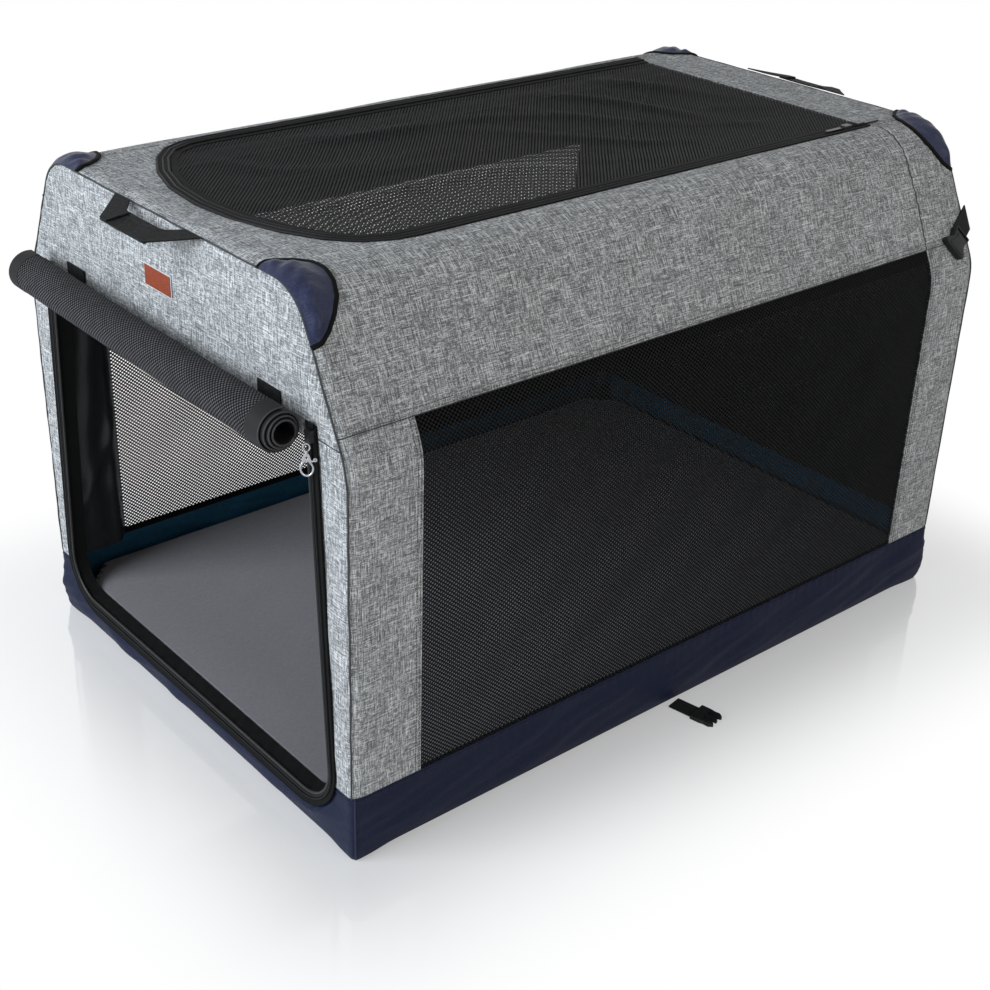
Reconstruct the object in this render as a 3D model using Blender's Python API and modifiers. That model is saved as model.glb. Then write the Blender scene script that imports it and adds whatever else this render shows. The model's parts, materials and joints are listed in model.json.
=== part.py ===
"""A folding soft-sided dog crate with a rolled-up front door.

The door end faces -Y, the crate is long along Y and wide along X, +Z is up, and the origin is
the middle of its underside. Metres throughout. A tube frame carries the cloth: a base rectangle,
four lower legs, two hoops that knee-fold on the legs, and two rails that tie the hoops together.
"""
import math

import bmesh
import bpy
from mathutils import Matrix, Vector

# Overall sizes of the cloth box
LENGTH = 0.910
WIDTH = 0.610
HEIGHT = 0.588
BAND_HEIGHT = 0.079
KINK_Z = 0.4345
SEAM_Z = 0.4645
SHOULDER_X = 0.230
SHOULDER_RADIUS = 0.055
KINK_RADIUS = 0.080
FLAT_TOP_X = 0.1945
CLOTH = 0.003
GAP = 0.0003
SIDE_X = WIDTH / 2
END_Y = LENGTH / 2

# Tube frame
TUBE_R = 0.0065
FRAME_INSET = 0.0135
FRAME_X = 0.290
FRAME_Y = 0.435
BASE_TUBE_Z = 0.0105
PIVOT_Z = 0.060
TOP_BAR_Z = HEIGHT - FRAME_INSET
KNEE_Z = (PIVOT_Z + TOP_BAR_Z) / 2
KNEE_OUT = 0.011
RAIL_X = 0.170

# Pins and the ears and tongues that they join
PIN_R = 0.0022
KNEE_PIN_R = 0.0018
PIN_PLAY = 0.0004
TONGUE_HALF = 0.0025
EAR_INNER = 0.0029
EAR_OUTER = 0.0056
FOOT_R = 0.0055
KNUCKLE_R = 0.0040
KNUCKLE_RUN = 0.016

# Front door opening, its zip and the rolled-up door
DOOR_HALF_LOW = 0.2565
DOOR_HALF_TOP = 0.2385
DOOR_BOTTOM = 0.049
DOOR_TOP = 0.450
DOOR_CORNER_R = 0.046
HEM_WIDTH = 0.008
TAPE_WIDTH = 0.014
TAPE_THICK = 0.002
TAPE_TOP = 0.470
ROLL_Y = -0.4815
ROLL_Z = 0.461
ROLL_X0 = -0.250
ROLL_X1 = 0.248
ROLL_RADIUS = 0.0222
ROLL_TURNS = 4
ROLL_PITCH = 0.00325
ROLL_CLOTH = 0.0024
STRAP_X = 0.185
STRAP_TOP = 0.479
ZIP_X = 0.2550
ZIP_Z = 0.4565
CLIP_Y = -0.4642
CLIP_TURN = math.radians(50)

# Side windows
WINDOW_Y0 = -0.372
WINDOW_Y1 = 0.374

# Top door
TOP_DOOR_EDGE = [
    (0.1787, -0.290),
    (0.1765, -0.316),
    (0.1655, -0.340),
    (0.1430, -0.3605),
    (0.1050, -0.381),
    (0.0550, -0.3965),
    (0.0, -0.4015),
]
TOP_HINGE_Y = 0.3645
TOP_TAPE_WIDTH = 0.0142
TOP_TAPE_Z = HEIGHT + GAP

# Handles
HANDLE_Y = END_Y + 0.0013
HANDLE_Z = 0.584
HANDLE_RAISED = math.radians(80)

# Tie straps and their buckles
WEBBING = 0.0018
REAR_STRAP_Z = 0.484
REAR_STRAP_TILT = math.radians(34.8)
BOTTOM_STRAP_X = 0.3072
BOTTOM_STRAP_Y = -0.006
BOTTOM_STRAP_TURN = math.radians(11)

COLOURS = {
    "frame_paint": ((0.03, 0.03, 0.035), 0.45, 0.6),
    "bracket_plastic": ((0.02, 0.02, 0.02), 0.5, 0.0),
    "steel_pin": ((0.6, 0.6, 0.6), 0.3, 1.0),
    "grey_melange": ((0.42, 0.44, 0.46), 0.9, 0.0),
    "navy_cloth": ((0.03, 0.04, 0.09), 0.7, 0.0),
    "black_mesh": ((0.012, 0.012, 0.013), 0.8, 0.0),
    "black_webbing": ((0.015, 0.015, 0.016), 0.8, 0.0),
    "zip_metal": ((0.75, 0.75, 0.76), 0.25, 1.0),
    "mat_cloth": ((0.14, 0.14, 0.155), 0.9, 0.0),
}


class Workshop:
    """Keeps the part's collections and materials and files every object in them."""

    def __init__(self):
        for obj in list(bpy.data.objects):
            bpy.data.objects.remove(obj)
        self.part = bpy.data.collections.new("folding_dog_crate")
        self.cutters = bpy.data.collections.new("cutters")
        for collection in (self.part, self.cutters):
            bpy.context.scene.collection.children.link(collection)
        self.materials = {name: self._material(name, *look) for name, look in COLOURS.items()}

    @staticmethod
    def _material(name, colour, roughness, metallic):
        material = bpy.data.materials.new(name)
        material.use_nodes = True
        shader = material.node_tree.nodes["Principled BSDF"]
        shader.inputs["Base Color"].default_value = (*colour, 1.0)
        shader.inputs["Roughness"].default_value = roughness
        shader.inputs["Metallic"].default_value = metallic
        return material

    def file(self, obj, name, material):
        """Names an object, gives it its material and puts it in the part's collection."""
        obj.name = name
        obj.data.materials.clear()
        obj.data.materials.append(self.materials[material])
        self._move(obj, self.part)
        return obj

    def helper(self, obj):
        """Hides an object that only cuts or joins another one."""
        obj.hide_render = True
        obj.display_type = "WIRE"
        self._move(obj, self.cutters)
        return obj

    @staticmethod
    def _move(obj, collection):
        for old in list(obj.users_collection):
            old.objects.unlink(obj)
        collection.objects.link(obj)


SHOP = Workshop()


def box(low, high):
    """A box from its low corner to its high corner."""
    low, high = Vector(low), Vector(high)
    bpy.ops.mesh.primitive_cube_add(size=1.0, location=(low + high) / 2)
    obj = bpy.context.object
    obj.data.transform(Matrix.Diagonal((*(high - low), 1.0)))
    return obj


def cylinder(centre, axis, radius, length, sides=12):
    """A round bar about a centre point, along the X, Y or Z axis."""
    bpy.ops.mesh.primitive_cylinder_add(vertices=sides, radius=radius, depth=length)
    obj = bpy.context.object
    turn = {
        "X": Matrix.Rotation(math.pi / 2, 4, "Y"),
        "Y": Matrix.Rotation(math.pi / 2, 4, "X"),
        "Z": Matrix.Identity(4),
    }[axis]
    obj.data.transform(Matrix.Translation(centre) @ turn)
    return obj


def outline(loops, low, high, plane):
    """A flat shape of one or more closed loops, thick from low to high across its plane.

    The loops are pairs in the plane: (x, y) for XY, (x, z) for XZ and (y, z) for YZ.
    """
    curve = bpy.data.curves.new("outline", "CURVE")
    curve.dimensions = "2D"
    curve.fill_mode = "BOTH"
    curve.extrude = (high - low) / 2
    for loop in loops:
        spline = curve.splines.new("POLY")
        spline.points.add(len(loop) - 1)
        for point, (a, b) in zip(spline.points, loop):
            point.co = (a, b, 0.0, 1.0)
        spline.use_cyclic_u = True
    obj = bpy.data.objects.new("outline", curve)
    bpy.context.scene.collection.objects.link(obj)
    middle = (low + high) / 2
    obj.matrix_world = {
        "XY": Matrix.Translation((0, 0, middle)),
        "XZ": Matrix.Translation((0, middle, 0)) @ Matrix.Rotation(math.pi / 2, 4, "X"),
        "YZ": Matrix.Translation((middle, 0, 0))
        @ Matrix.Rotation(math.pi / 2, 4, "Z")
        @ Matrix.Rotation(math.pi / 2, 4, "X"),
    }[plane]
    return obj


def tube(points, radius):
    """A round tube along a path, with closed ends."""
    curve = bpy.data.curves.new("tube", "CURVE")
    curve.dimensions = "3D"
    curve.bevel_depth = radius
    curve.bevel_resolution = 4
    curve.use_fill_caps = True
    spline = curve.splines.new("POLY")
    spline.points.add(len(points) - 1)
    for point, place in zip(spline.points, points):
        point.co = (*place, 1.0)
    obj = bpy.data.objects.new("tube", curve)
    bpy.context.scene.collection.objects.link(obj)
    return obj


def meshed(obj):
    """Turns a curve object into a closed mesh object in the same place."""
    evaluated = obj.evaluated_get(bpy.context.evaluated_depsgraph_get())
    mesh = bpy.data.meshes.new_from_object(evaluated)
    work = bmesh.new()
    work.from_mesh(mesh)
    bmesh.ops.remove_doubles(work, verts=work.verts, dist=1e-5)
    bmesh.ops.recalc_face_normals(work, faces=work.faces)
    work.to_mesh(mesh)
    work.free()
    made = bpy.data.objects.new(obj.name, mesh)
    bpy.context.scene.collection.objects.link(made)
    made.matrix_world = obj.matrix_world
    bpy.data.objects.remove(obj)
    return made


def change(obj, tools, operation):
    """Cuts tools out of a mesh object, or joins them to it, and keeps the tools as helpers."""
    for tool in tools:
        modifier = obj.modifiers.new(operation.lower(), "BOOLEAN")
        modifier.operation = operation
        modifier.solver = "EXACT"
        modifier.object = SHOP.helper(tool)
    return obj


def cut(obj, *tools):
    return change(obj, tools, "DIFFERENCE")


def join(obj, *tools):
    return change(obj, tools, "UNION")


def smooth(obj, degrees=35):
    """Shades a round piece smooth, with its edges kept sharp."""
    obj.data.shade_smooth()
    obj.data.set_sharp_from_angle(angle=math.radians(degrees))
    return obj


def placed(obj, origin, turn_z=0.0, swing_x=0.0):
    """Sets an object, built about its own joint, down at that joint."""
    turn = Matrix.Rotation(turn_z, 4, "Z") @ Matrix.Rotation(swing_x, 4, "X")
    obj.matrix_world = Matrix.Translation(origin) @ turn @ obj.matrix_world
    return obj


def arc(centre, radius, start, end, steps, height=None):
    """Points on a circle, or on an oval of another half height, between two angles in radians."""
    tall = height or radius
    angles = [start + (end - start) * i / steps for i in range(steps + 1)]
    return [(centre[0] + radius * math.cos(a), centre[1] + tall * math.sin(a)) for a in angles]


def rounded(points, radii, steps=5):
    """A path whose inner corners are rounded, each with its own radius."""
    path = [points[0]]
    for i in range(1, len(points) - 1):
        before, corner, after = (Vector(p) for p in points[i - 1 : i + 2])
        into, out = (corner - before).normalized(), (after - corner).normalized()
        bend = into.angle(out)
        reach = radii[i - 1] * math.tan(bend / 2)
        start, end = corner - into * reach, corner + out * reach
        for k in range(steps + 1):
            t = k / steps
            share = math.sin(t * bend) / math.sin(bend)
            rest = math.sin((1 - t) * bend) / math.sin(bend)
            centre = corner + (out - into).normalized() * (radii[i - 1] / math.cos(bend / 2))
            path.append(tuple(centre + (start - centre) * rest + (end - centre) * share))
    path.append(points[-1])
    return path


def shifted(path, distance):
    """A flat path moved sideways, to its left for a positive distance."""
    moved = []
    for i, here in enumerate(path):
        ahead = Vector(path[min(i + 1, len(path) - 1)]) - Vector(here)
        behind = Vector(here) - Vector(path[max(i - 1, 0)])
        if i == 0:
            behind = ahead
        if i == len(path) - 1:
            ahead = behind
        sides = [Vector((-v.y, v.x)).normalized() for v in (behind, ahead)]
        middle = (sides[0] + sides[1]).normalized()
        moved.append(tuple(Vector(here) + middle * distance / middle.dot(sides[0])))
    return moved


def strip(path, inner, outer):
    """A closed outline between two paths parallel to the given one."""
    return shifted(path, inner) + shifted(path, outer)[::-1]


def side_path(inset, low, flat_x):
    """The crate's right-hand outline from a height up to the flat top, at an inset."""
    lean = math.atan2(SIDE_X - SHOULDER_X, HEIGHT - KINK_Z)
    across, down = math.cos(lean), math.sin(lean)
    kink_z = KINK_Z - inset * (1 - across) / down
    shoulder_x = SHOULDER_X - inset * (1 - down) / across
    corners = [
        (SIDE_X - inset, low),
        (SIDE_X - inset, kink_z),
        (shoulder_x, HEIGHT - inset),
        (flat_x, HEIGHT - inset),
    ]
    return rounded(corners, (KINK_RADIUS - inset, SHOULDER_RADIUS - inset))


def parted(path, height):
    """A rising path parted at a height: the stretch below it and the stretch above."""
    above = next(i for i, (_, z) in enumerate(path) if z > height)
    (x0, z0), (x1, z1) = path[above - 1], path[above]
    place = (x0 + (x1 - x0) * (height - z0) / (z1 - z0), height)
    return path[:above] + [place], [place] + path[above:]


def end_outline(low):
    """The whole outline of an end wall above a height."""
    right = side_path(0.0, low, 0.0)[:-1]
    return right + [(-x, z) for x, z in reversed(right)]


def door_edge(out, top):
    """The right half of a line outside the door opening's edge, from a height to the middle.

    The opening narrows upwards, and its lower corners are round.
    """
    half, corner_z = DOOR_HALF_LOW + out, DOOR_BOTTOM + DOOR_CORNER_R
    lean = (DOOR_HALF_LOW - DOOR_HALF_TOP) / (DOOR_TOP - corner_z)
    radius = DOOR_CORNER_R + out
    corner = arc((half - radius, corner_z), radius, 0.0, -math.pi / 2, 7)
    return [(half - lean * (top - corner_z), top)] + corner + [(0.0, DOOR_BOTTOM - out)]


def both_sides(path):
    """A path down the right-hand side, carried on up the left-hand side."""
    return path[:-1] + [(-x, z) for x, z in reversed(path[:-1])]


def make_base_tubes():
    """The base rectangle's four tubes."""
    long_half = FRAME_Y - 0.012
    short_half = FRAME_X - 0.012
    for name, sign in (("left", -1), ("right", 1)):
        bar = cylinder((sign * FRAME_X, 0, BASE_TUBE_Z), "Y", TUBE_R, 2 * long_half)
        SHOP.file(smooth(bar), f"base_tube_{name}", "frame_paint")
    for name, sign in (("front", -1), ("rear", 1)):
        bar = cylinder((0, sign * FRAME_Y, BASE_TUBE_Z), "X", TUBE_R, 2 * short_half)
        SHOP.file(smooth(bar), f"base_tube_{name}", "frame_paint")


def make_base_corner(name, sx, sy):
    """A corner bracket: two sockets for the base tubes and a clevis, with its pin, for the leg."""

    def at(x, y, z):
        return (sx * x, sy * y, z)

    def block(x0, x1, y0, y1, z0, z1):
        corners = (at(x0, y0, z0), at(x1, y1, z1))
        low = [min(pair) for pair in zip(*corners)]
        high = [max(pair) for pair in zip(*corners)]
        return box(low, high)

    arm = 0.028
    wall = 0.0095
    bottom, top = 0.0025, 0.0190
    post_half, post_top = 0.0065, 0.0535
    out_x, out_y = FRAME_X + wall, FRAME_Y + wall
    body = block(FRAME_X - wall, out_x, FRAME_Y - arm, out_y, bottom, top)
    lower = top - 0.0005
    other = block(FRAME_X - arm, out_x - 0.001, FRAME_Y - wall, out_y - 0.001, bottom, lower)
    post_x = (FRAME_X - post_half, FRAME_X + post_half)
    post_y = (FRAME_Y - post_half, FRAME_Y + post_half)
    post = block(*post_x, *post_y, top - 0.002, post_top)
    ears = []
    for side in (-1, 1):
        inner, outer = sorted((side * EAR_INNER, side * EAR_OUTER))
        ear_x = (FRAME_X + inner, FRAME_X + outer)
        ears.append(block(*ear_x, FRAME_Y - FOOT_R, FRAME_Y + FOOT_R, post_top - 0.002, PIVOT_Z))
        middle = at(FRAME_X + (inner + outer) / 2, FRAME_Y, PIVOT_Z)
        ears.append(cylinder(middle, "X", FOOT_R - 0.00005, outer - inner - 0.0001, 16))
    pin = cylinder(at(FRAME_X, FRAME_Y, PIVOT_Z), "X", PIN_R, 2 * EAR_OUTER + 0.0016)
    join(body, other, post, *ears, pin)
    socket, reach = TUBE_R + GAP, 0.017
    near = reach / 2 - arm - 0.0005
    y_socket = cylinder(at(FRAME_X, FRAME_Y + near, BASE_TUBE_Z), "Y", socket, reach, 16)
    x_socket = cylinder(at(FRAME_X + near, FRAME_Y, BASE_TUBE_Z), "X", socket, reach, 16)
    cut(body, y_socket, x_socket)
    SHOP.file(body, f"base_corner_{name}", "bracket_plastic")


def make_lower_leg(name, x, turn):
    """A straight leg with a tongue at its foot pivot and a fork at its knee."""
    knee = KNEE_Z - PIVOT_Z
    foot = 0.010
    leg = cylinder((0, 0, (foot + knee - GAP) / 2), "Z", TUBE_R, knee - GAP - foot)
    tongue = box((-TONGUE_HALF, -FOOT_R, 0), (TONGUE_HALF, FOOT_R, foot + 0.006))
    toe = cylinder((0, 0, 0), "X", FOOT_R - 0.00005, 2 * TONGUE_HALF - 0.0001, 16)
    fork = []
    for side in (-1, 1):
        inner, outer = sorted((side * EAR_INNER, side * EAR_OUTER))
        fork.append(box((inner, 0, knee - KNUCKLE_RUN), (outer, KNEE_OUT + KNUCKLE_R, knee)))
        middle = ((inner + outer) / 2, KNEE_OUT, knee)
        fork.append(cylinder(middle, "X", KNUCKLE_R - 0.00005, outer - inner - 0.0001, 16))
    join(leg, tongue, toe, *fork)
    foot_hole = cylinder((0, 0, 0), "X", PIN_R + PIN_PLAY, 0.03)
    knee_hole = cylinder((0, KNEE_OUT, knee), "X", KNEE_PIN_R + PIN_PLAY, 0.03)
    cut(leg, foot_hole, knee_hole)
    for obj in (leg, *[m.object for m in leg.modifiers]):
        placed(obj, (x, math.copysign(FRAME_Y, math.cos(turn)), PIVOT_Z), turn)
    SHOP.file(leg, name, "frame_paint")


def make_hoop(name, turn):
    """A bent hoop, about its top bar's axis, with a tongue at the foot of each leg."""
    knee = KNEE_Z - TOP_BAR_Z
    centre_line = side_path(FRAME_INSET, KNEE_Z + GAP, 0.0)[:-1]
    shift = FRAME_X - (SIDE_X - FRAME_INSET)
    right = [(x + shift, z - TOP_BAR_Z) for x, z in centre_line]
    path = right + [(-x, z) for x, z in reversed(right)]
    hoop = meshed(tube([(x, 0, z) for x, z in path], TUBE_R))
    holes = []
    for side in (-1, 1):
        leg_x = side * FRAME_X
        low = (leg_x - TONGUE_HALF, 0, knee)
        tongue = box(low, (leg_x + TONGUE_HALF, KNEE_OUT + KNUCKLE_R, knee + KNUCKLE_RUN))
        toe_place = (leg_x, KNEE_OUT, knee)
        toe = cylinder(toe_place, "X", KNUCKLE_R - 0.00005, 2 * TONGUE_HALF - 0.0001, 16)
        join(hoop, tongue, toe)
        holes.append(cylinder((leg_x, KNEE_OUT, knee), "X", KNEE_PIN_R + PIN_PLAY, 0.03))
    cut(hoop, *holes)
    for obj in (hoop, *[m.object for m in hoop.modifiers]):
        placed(obj, (0, math.copysign(FRAME_Y, math.cos(turn)), TOP_BAR_Z), turn)
    SHOP.file(smooth(hoop), name, "frame_paint")


def make_knee_pin(name, x, sign):
    """A headed pin through a knee's fork and tongue."""
    head_r, head, shank = 0.0029, 0.0010, 2 * EAR_OUTER + 0.0006
    half = shank / 2
    bpy.ops.mesh.primitive_cylinder_add(vertices=12, radius=KNEE_PIN_R, depth=shank)
    pin = bpy.context.object
    heads = []
    for side in (-1, 1):
        heads.append(cylinder((0, 0, side * (half + head / 2 - 0.0002)), "Z", head_r, head))
    join(pin, *heads)
    place = Matrix.Translation((x, sign * (FRAME_Y + KNEE_OUT), KNEE_Z))
    for obj in (pin, *heads):
        obj.matrix_world = place @ Matrix.Rotation(math.pi / 2, 4, "Y") @ obj.matrix_world
    SHOP.file(pin, name, "steel_pin")


def make_frame():
    """The whole folding tube frame."""
    make_base_tubes()
    corners = {
        "front_left": (-1, -1),
        "front_right": (1, -1),
        "rear_left": (-1, 1),
        "rear_right": (1, 1),
    }
    for name, (sx, sy) in corners.items():
        make_base_corner(name, sx, sy)
        make_lower_leg(f"lower_leg_{name}", sx * FRAME_X, 0.0 if sy > 0 else math.pi)
        make_knee_pin(f"knee_pin_{name}", sx * FRAME_X, sy)
    make_hoop("upper_hoop_front", math.pi)
    make_hoop("upper_hoop_rear", 0.0)
    ring_half, boss_end, wall = 0.011, 0.034, 0.0125
    for side, sx in (("left", -1), ("right", 1)):
        rail_half = FRAME_Y - wall - 0.001
        rail = cylinder((sx * RAIL_X, 0, TOP_BAR_Z), "Y", TUBE_R, 2 * rail_half)
        SHOP.file(smooth(rail), f"top_rail_{side}", "frame_paint")
        for end, sy in (("front", -1), ("rear", 1)):
            x = sx * RAIL_X
            ring = cylinder((x, sy * FRAME_Y, TOP_BAR_Z), "X", 0.0095, 2 * ring_half, 20)
            boss_y = sy * (FRAME_Y - boss_end / 2 - 0.002)
            boss = cylinder((x, boss_y, TOP_BAR_Z), "Y", 0.0090, boss_end - 0.004, 20)
            join(ring, boss)
            bore = cylinder((x, sy * FRAME_Y, TOP_BAR_Z), "X", TUBE_R + GAP, 0.04, 16)
            deep = boss_end - wall + 0.001
            socket_y = sy * (FRAME_Y - wall - deep / 2)
            socket = cylinder((x, socket_y, TOP_BAR_Z), "Y", TUBE_R + GAP, deep, 16)
            cut(ring, bore, socket)
            SHOP.file(ring, f"rail_clamp_{end}_{side}", "bracket_plastic")


def make_base_cover():
    """The navy tray: a floor and a band round the foot of the crate, lower at the door."""
    sheet, floor = 0.0024, 0.002
    tray = box((-SIDE_X, -END_Y, 0), (SIDE_X, END_Y, BAND_HEIGHT))
    inside = box((-SIDE_X + sheet, -END_Y + sheet, floor), (SIDE_X - sheet, END_Y - sheet, 0.2))
    edge = door_edge(0.0, 0.2)
    doorway = meshed(outline([both_sides(edge)], -END_Y - 0.01, -END_Y + 0.01, "XZ"))
    cut(tray, inside, doorway)
    SHOP.file(tray, "base_cover", "navy_cloth")


def make_mat():
    """The padded floor mat: chamfered corners clear the leg brackets, and the top is crowned."""
    half_x, half_y, corner = 0.298, 0.448, 0.040
    bottom, rim, crown = 0.0195, 0.0465, 0.0050
    corners = [(half_x, half_y - corner), (half_x - corner, half_y)]
    ring = corners + [(-x, y) for x, y in reversed(corners)]
    ring += [(-x, -y) for x, y in ring]
    mesh = bpy.data.meshes.new("mat")
    work = bmesh.new()
    base = work.faces.new([work.verts.new((x, y, bottom)) for x, y in ring])
    raised = bmesh.ops.extrude_face_region(work, geom=[base])
    top_verts = [g for g in raised["geom"] if isinstance(g, bmesh.types.BMVert)]
    bmesh.ops.translate(work, verts=top_verts, vec=(0, 0, rim - bottom))
    for inset, rise in ((0.035, crown * 0.6), (0.070, crown * 0.4)):
        top = max(work.faces, key=lambda f: (f.calc_center_median().z, f.calc_area()))
        bmesh.ops.inset_individual(work, faces=[top], thickness=inset, depth=rise)
    bmesh.ops.recalc_face_normals(work, faces=work.faces)
    work.to_mesh(mesh)
    work.free()
    mat = bpy.data.objects.new("mat", mesh)
    bpy.context.scene.collection.objects.link(mat)
    bevel = mat.modifiers.new("soft_edges", "BEVEL")
    bevel.width = 0.009
    bevel.segments = 3
    bevel.limit_method = "ANGLE"
    SHOP.file(smooth(mat, 60), "floor_mat", "mat_cloth")


def make_end_walls():
    """The front wall round the door opening, with its sewn label patch, and the plain rear wall."""
    low = BAND_HEIGHT + GAP
    above = [(x, z) for x, z in door_edge(0.0, DOOR_TOP) if z > low]
    centre_x, centre_z = DOOR_HALF_LOW - DOOR_CORNER_R, DOOR_BOTTOM + DOOR_CORNER_R
    foot_x = centre_x + math.sqrt(DOOR_CORNER_R**2 - (centre_z - low) ** 2)
    right = above + [(foot_x, low)]
    inner = [(-x, z) for x, z in reversed(right)]
    loop = end_outline(low) + inner + right
    wall = meshed(outline([loop], -END_Y, -END_Y + CLOTH, "XZ"))
    label = box((-0.033, -END_Y - 0.0008, 0.507), (0.018, -END_Y + 0.001, 0.530))
    join(wall, label)
    SHOP.file(wall, "front_wall", "grey_melange")
    rear = outline([end_outline(low)], END_Y - CLOTH, END_Y, "XZ")
    SHOP.file(rear, "rear_wall", "grey_melange")


def make_sides():
    """Each long side: two cloth columns, the mesh window between them and the sloped upper."""
    full = side_path(0.0, BAND_HEIGHT + GAP, FLAT_TOP_X + GAP)
    end = END_Y - CLOTH - 0.0005
    for side, sx in (("left", -1), ("right", 1)):
        wall = [(sx * x, z) for x, z in full]
        lower, _ = parted(wall, SEAM_Z)
        _, upper = parted(wall, SEAM_Z + GAP)
        columns = {"front": (-end, WINDOW_Y0 - GAP), "rear": (WINDOW_Y1 + GAP, end)}
        for place, (y0, y1) in columns.items():
            panel = outline([strip(lower, 0.0, sx * CLOTH)], y0, y1, "XZ")
            SHOP.file(panel, f"side_column_{side}_{place}", "grey_melange")
        loop = strip(lower, sx * 0.0005, sx * (CLOTH - 0.0005))
        window = outline([loop], WINDOW_Y0, WINDOW_Y1, "XZ")
        SHOP.file(window, f"side_window_{side}", "black_mesh")
        upper = outline([strip(upper, 0.0, sx * CLOTH)], -end, end, "XZ")
        SHOP.file(upper, f"side_upper_{side}", "grey_melange")


def make_corner_patches():
    """Navy patches over the four top corners, each a round-ended shape seen from above."""
    end = END_Y - CLOTH - 0.0005
    inside, outside = 0.0004, 0.0014
    shape = [
        (0.160, -0.002),
        (0.160, 0.006),
        (0.164, 0.020),
        (0.175, 0.036),
        (0.190, 0.047),
        (0.207, 0.0505),
        (0.223, 0.048),
        (0.235, 0.040),
        (0.2425, 0.028),
        (0.248, 0.014),
        (0.254, -0.002),
    ]
    _, path = parted(side_path(0.0, BAND_HEIGHT, 0.150), 0.5300)
    for side, sx in (("left", -1), ("right", 1)):
        turned = [(sx * x, z) for x, z in path]
        for place, sy in (("front", -1), ("rear", 1)):
            low, high = sorted((sy * (end - 0.055), sy * end))
            patch = meshed(outline([strip(turned, -sx * inside, -sx * outside)], low, high, "XZ"))
            seen = [(sx * x, sy * (end - depth)) for x, depth in shape]
            change(patch, [meshed(outline([seen], 0.50, 0.62, "XY"))], "INTERSECT")
            SHOP.file(patch, f"corner_patch_{place}_{side}", "navy_cloth")


def top_edge(out, rear):
    """A line outside the top door's edge, from its rear right end round to its rear left end."""
    right = [(TOP_DOOR_EDGE[0][0], rear)] + TOP_DOOR_EDGE
    return shifted(right + [(-x, y) for x, y in reversed(right[:-1])], out)


def make_top():
    """The flat top round its door, the door flap and the zip round its three free sides."""
    end = END_Y - CLOTH - GAP
    frame = [(FLAT_TOP_X, -end), (FLAT_TOP_X, end), (-FLAT_TOP_X, end), (-FLAT_TOP_X, -end)]
    rear = TOP_HINGE_Y + 0.0008
    panel = outline([frame, top_edge(0.0, rear)], HEIGHT - CLOTH, HEIGHT, "XY")
    SHOP.file(panel, "top_panel", "grey_melange")
    tape_loop = top_edge(TOP_TAPE_WIDTH, rear) + top_edge(0.0, rear)[::-1]
    tape = outline([tape_loop], TOP_TAPE_Z, TOP_TAPE_Z + 0.0015, "XY")
    SHOP.file(tape, "top_zip_tape", "black_webbing")
    edge = top_edge(-0.0015, TOP_HINGE_Y - GAP)
    flap = outline([[(x, y - TOP_HINGE_Y) for x, y in edge]], -0.0031, -0.0007, "XY")
    placed(flap, (0, TOP_HINGE_Y, HEIGHT + 0.0002))
    SHOP.file(flap, "top_door", "black_mesh")


def make_top_zip(name, y, forward):
    """A slider on the top zip and its pull, which lies along the tape between two ears."""
    floor = TOP_TAPE_Z + 0.0015 + GAP
    x = TOP_DOOR_EDGE[0][0] + TOP_TAPE_WIDTH / 2
    way = -1 if forward else 1
    slider = box((-0.004, -0.006, 0), (0.004, 0.006, 0.0034))
    ears = []
    for side in (-1, 1):
        low_x, high_x = sorted((side * 0.0029, side * 0.004))
        low_y, high_y = sorted((way * 0.005, way * 0.0082))
        ears.append(box((low_x, low_y, 0.0001), (high_x, high_y, 0.0020)))
    join(slider, *ears)
    for obj in (slider, *ears):
        placed(obj, (x, y, floor))
    SHOP.file(slider, f"top_zip_slider_{name}", "zip_metal")
    start, length, half, thick = 0.0004, 0.026, 0.0026, 0.0014
    loop = [(-half, way * start), (half, way * start), (half, way * length)]
    loop += [(half * 0.5, way * (length + 0.002)), (-half * 0.5, way * (length + 0.002))]
    loop += [(-half, way * length)]
    pull = outline([loop], -thick / 2, thick / 2, "XY")
    placed(pull, (x, y + way * 0.0072, floor + 0.0010))
    SHOP.file(pull, f"top_zip_pull_{name}", "zip_metal")


def make_handle(name, turn):
    """A webbing carry handle, folded at its corners and sewn into a top seam, held out level."""
    outer = [(0.080, 0.0), (0.042, -0.039)]
    inner = [(0.036, -0.0125), (0.052, 0.0)]
    loop = outer + [(-x, z) for x, z in reversed(outer)]
    loop += [(-x, z) for x, z in reversed(inner)] + inner
    band = outline([loop], -WEBBING / 2, WEBBING / 2, "XZ")
    sign = 1 if turn == 0.0 else -1
    placed(band, (0, sign * HANDLE_Y, HANDLE_Z), turn, HANDLE_RAISED)
    SHOP.file(band, name, "black_webbing")


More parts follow.
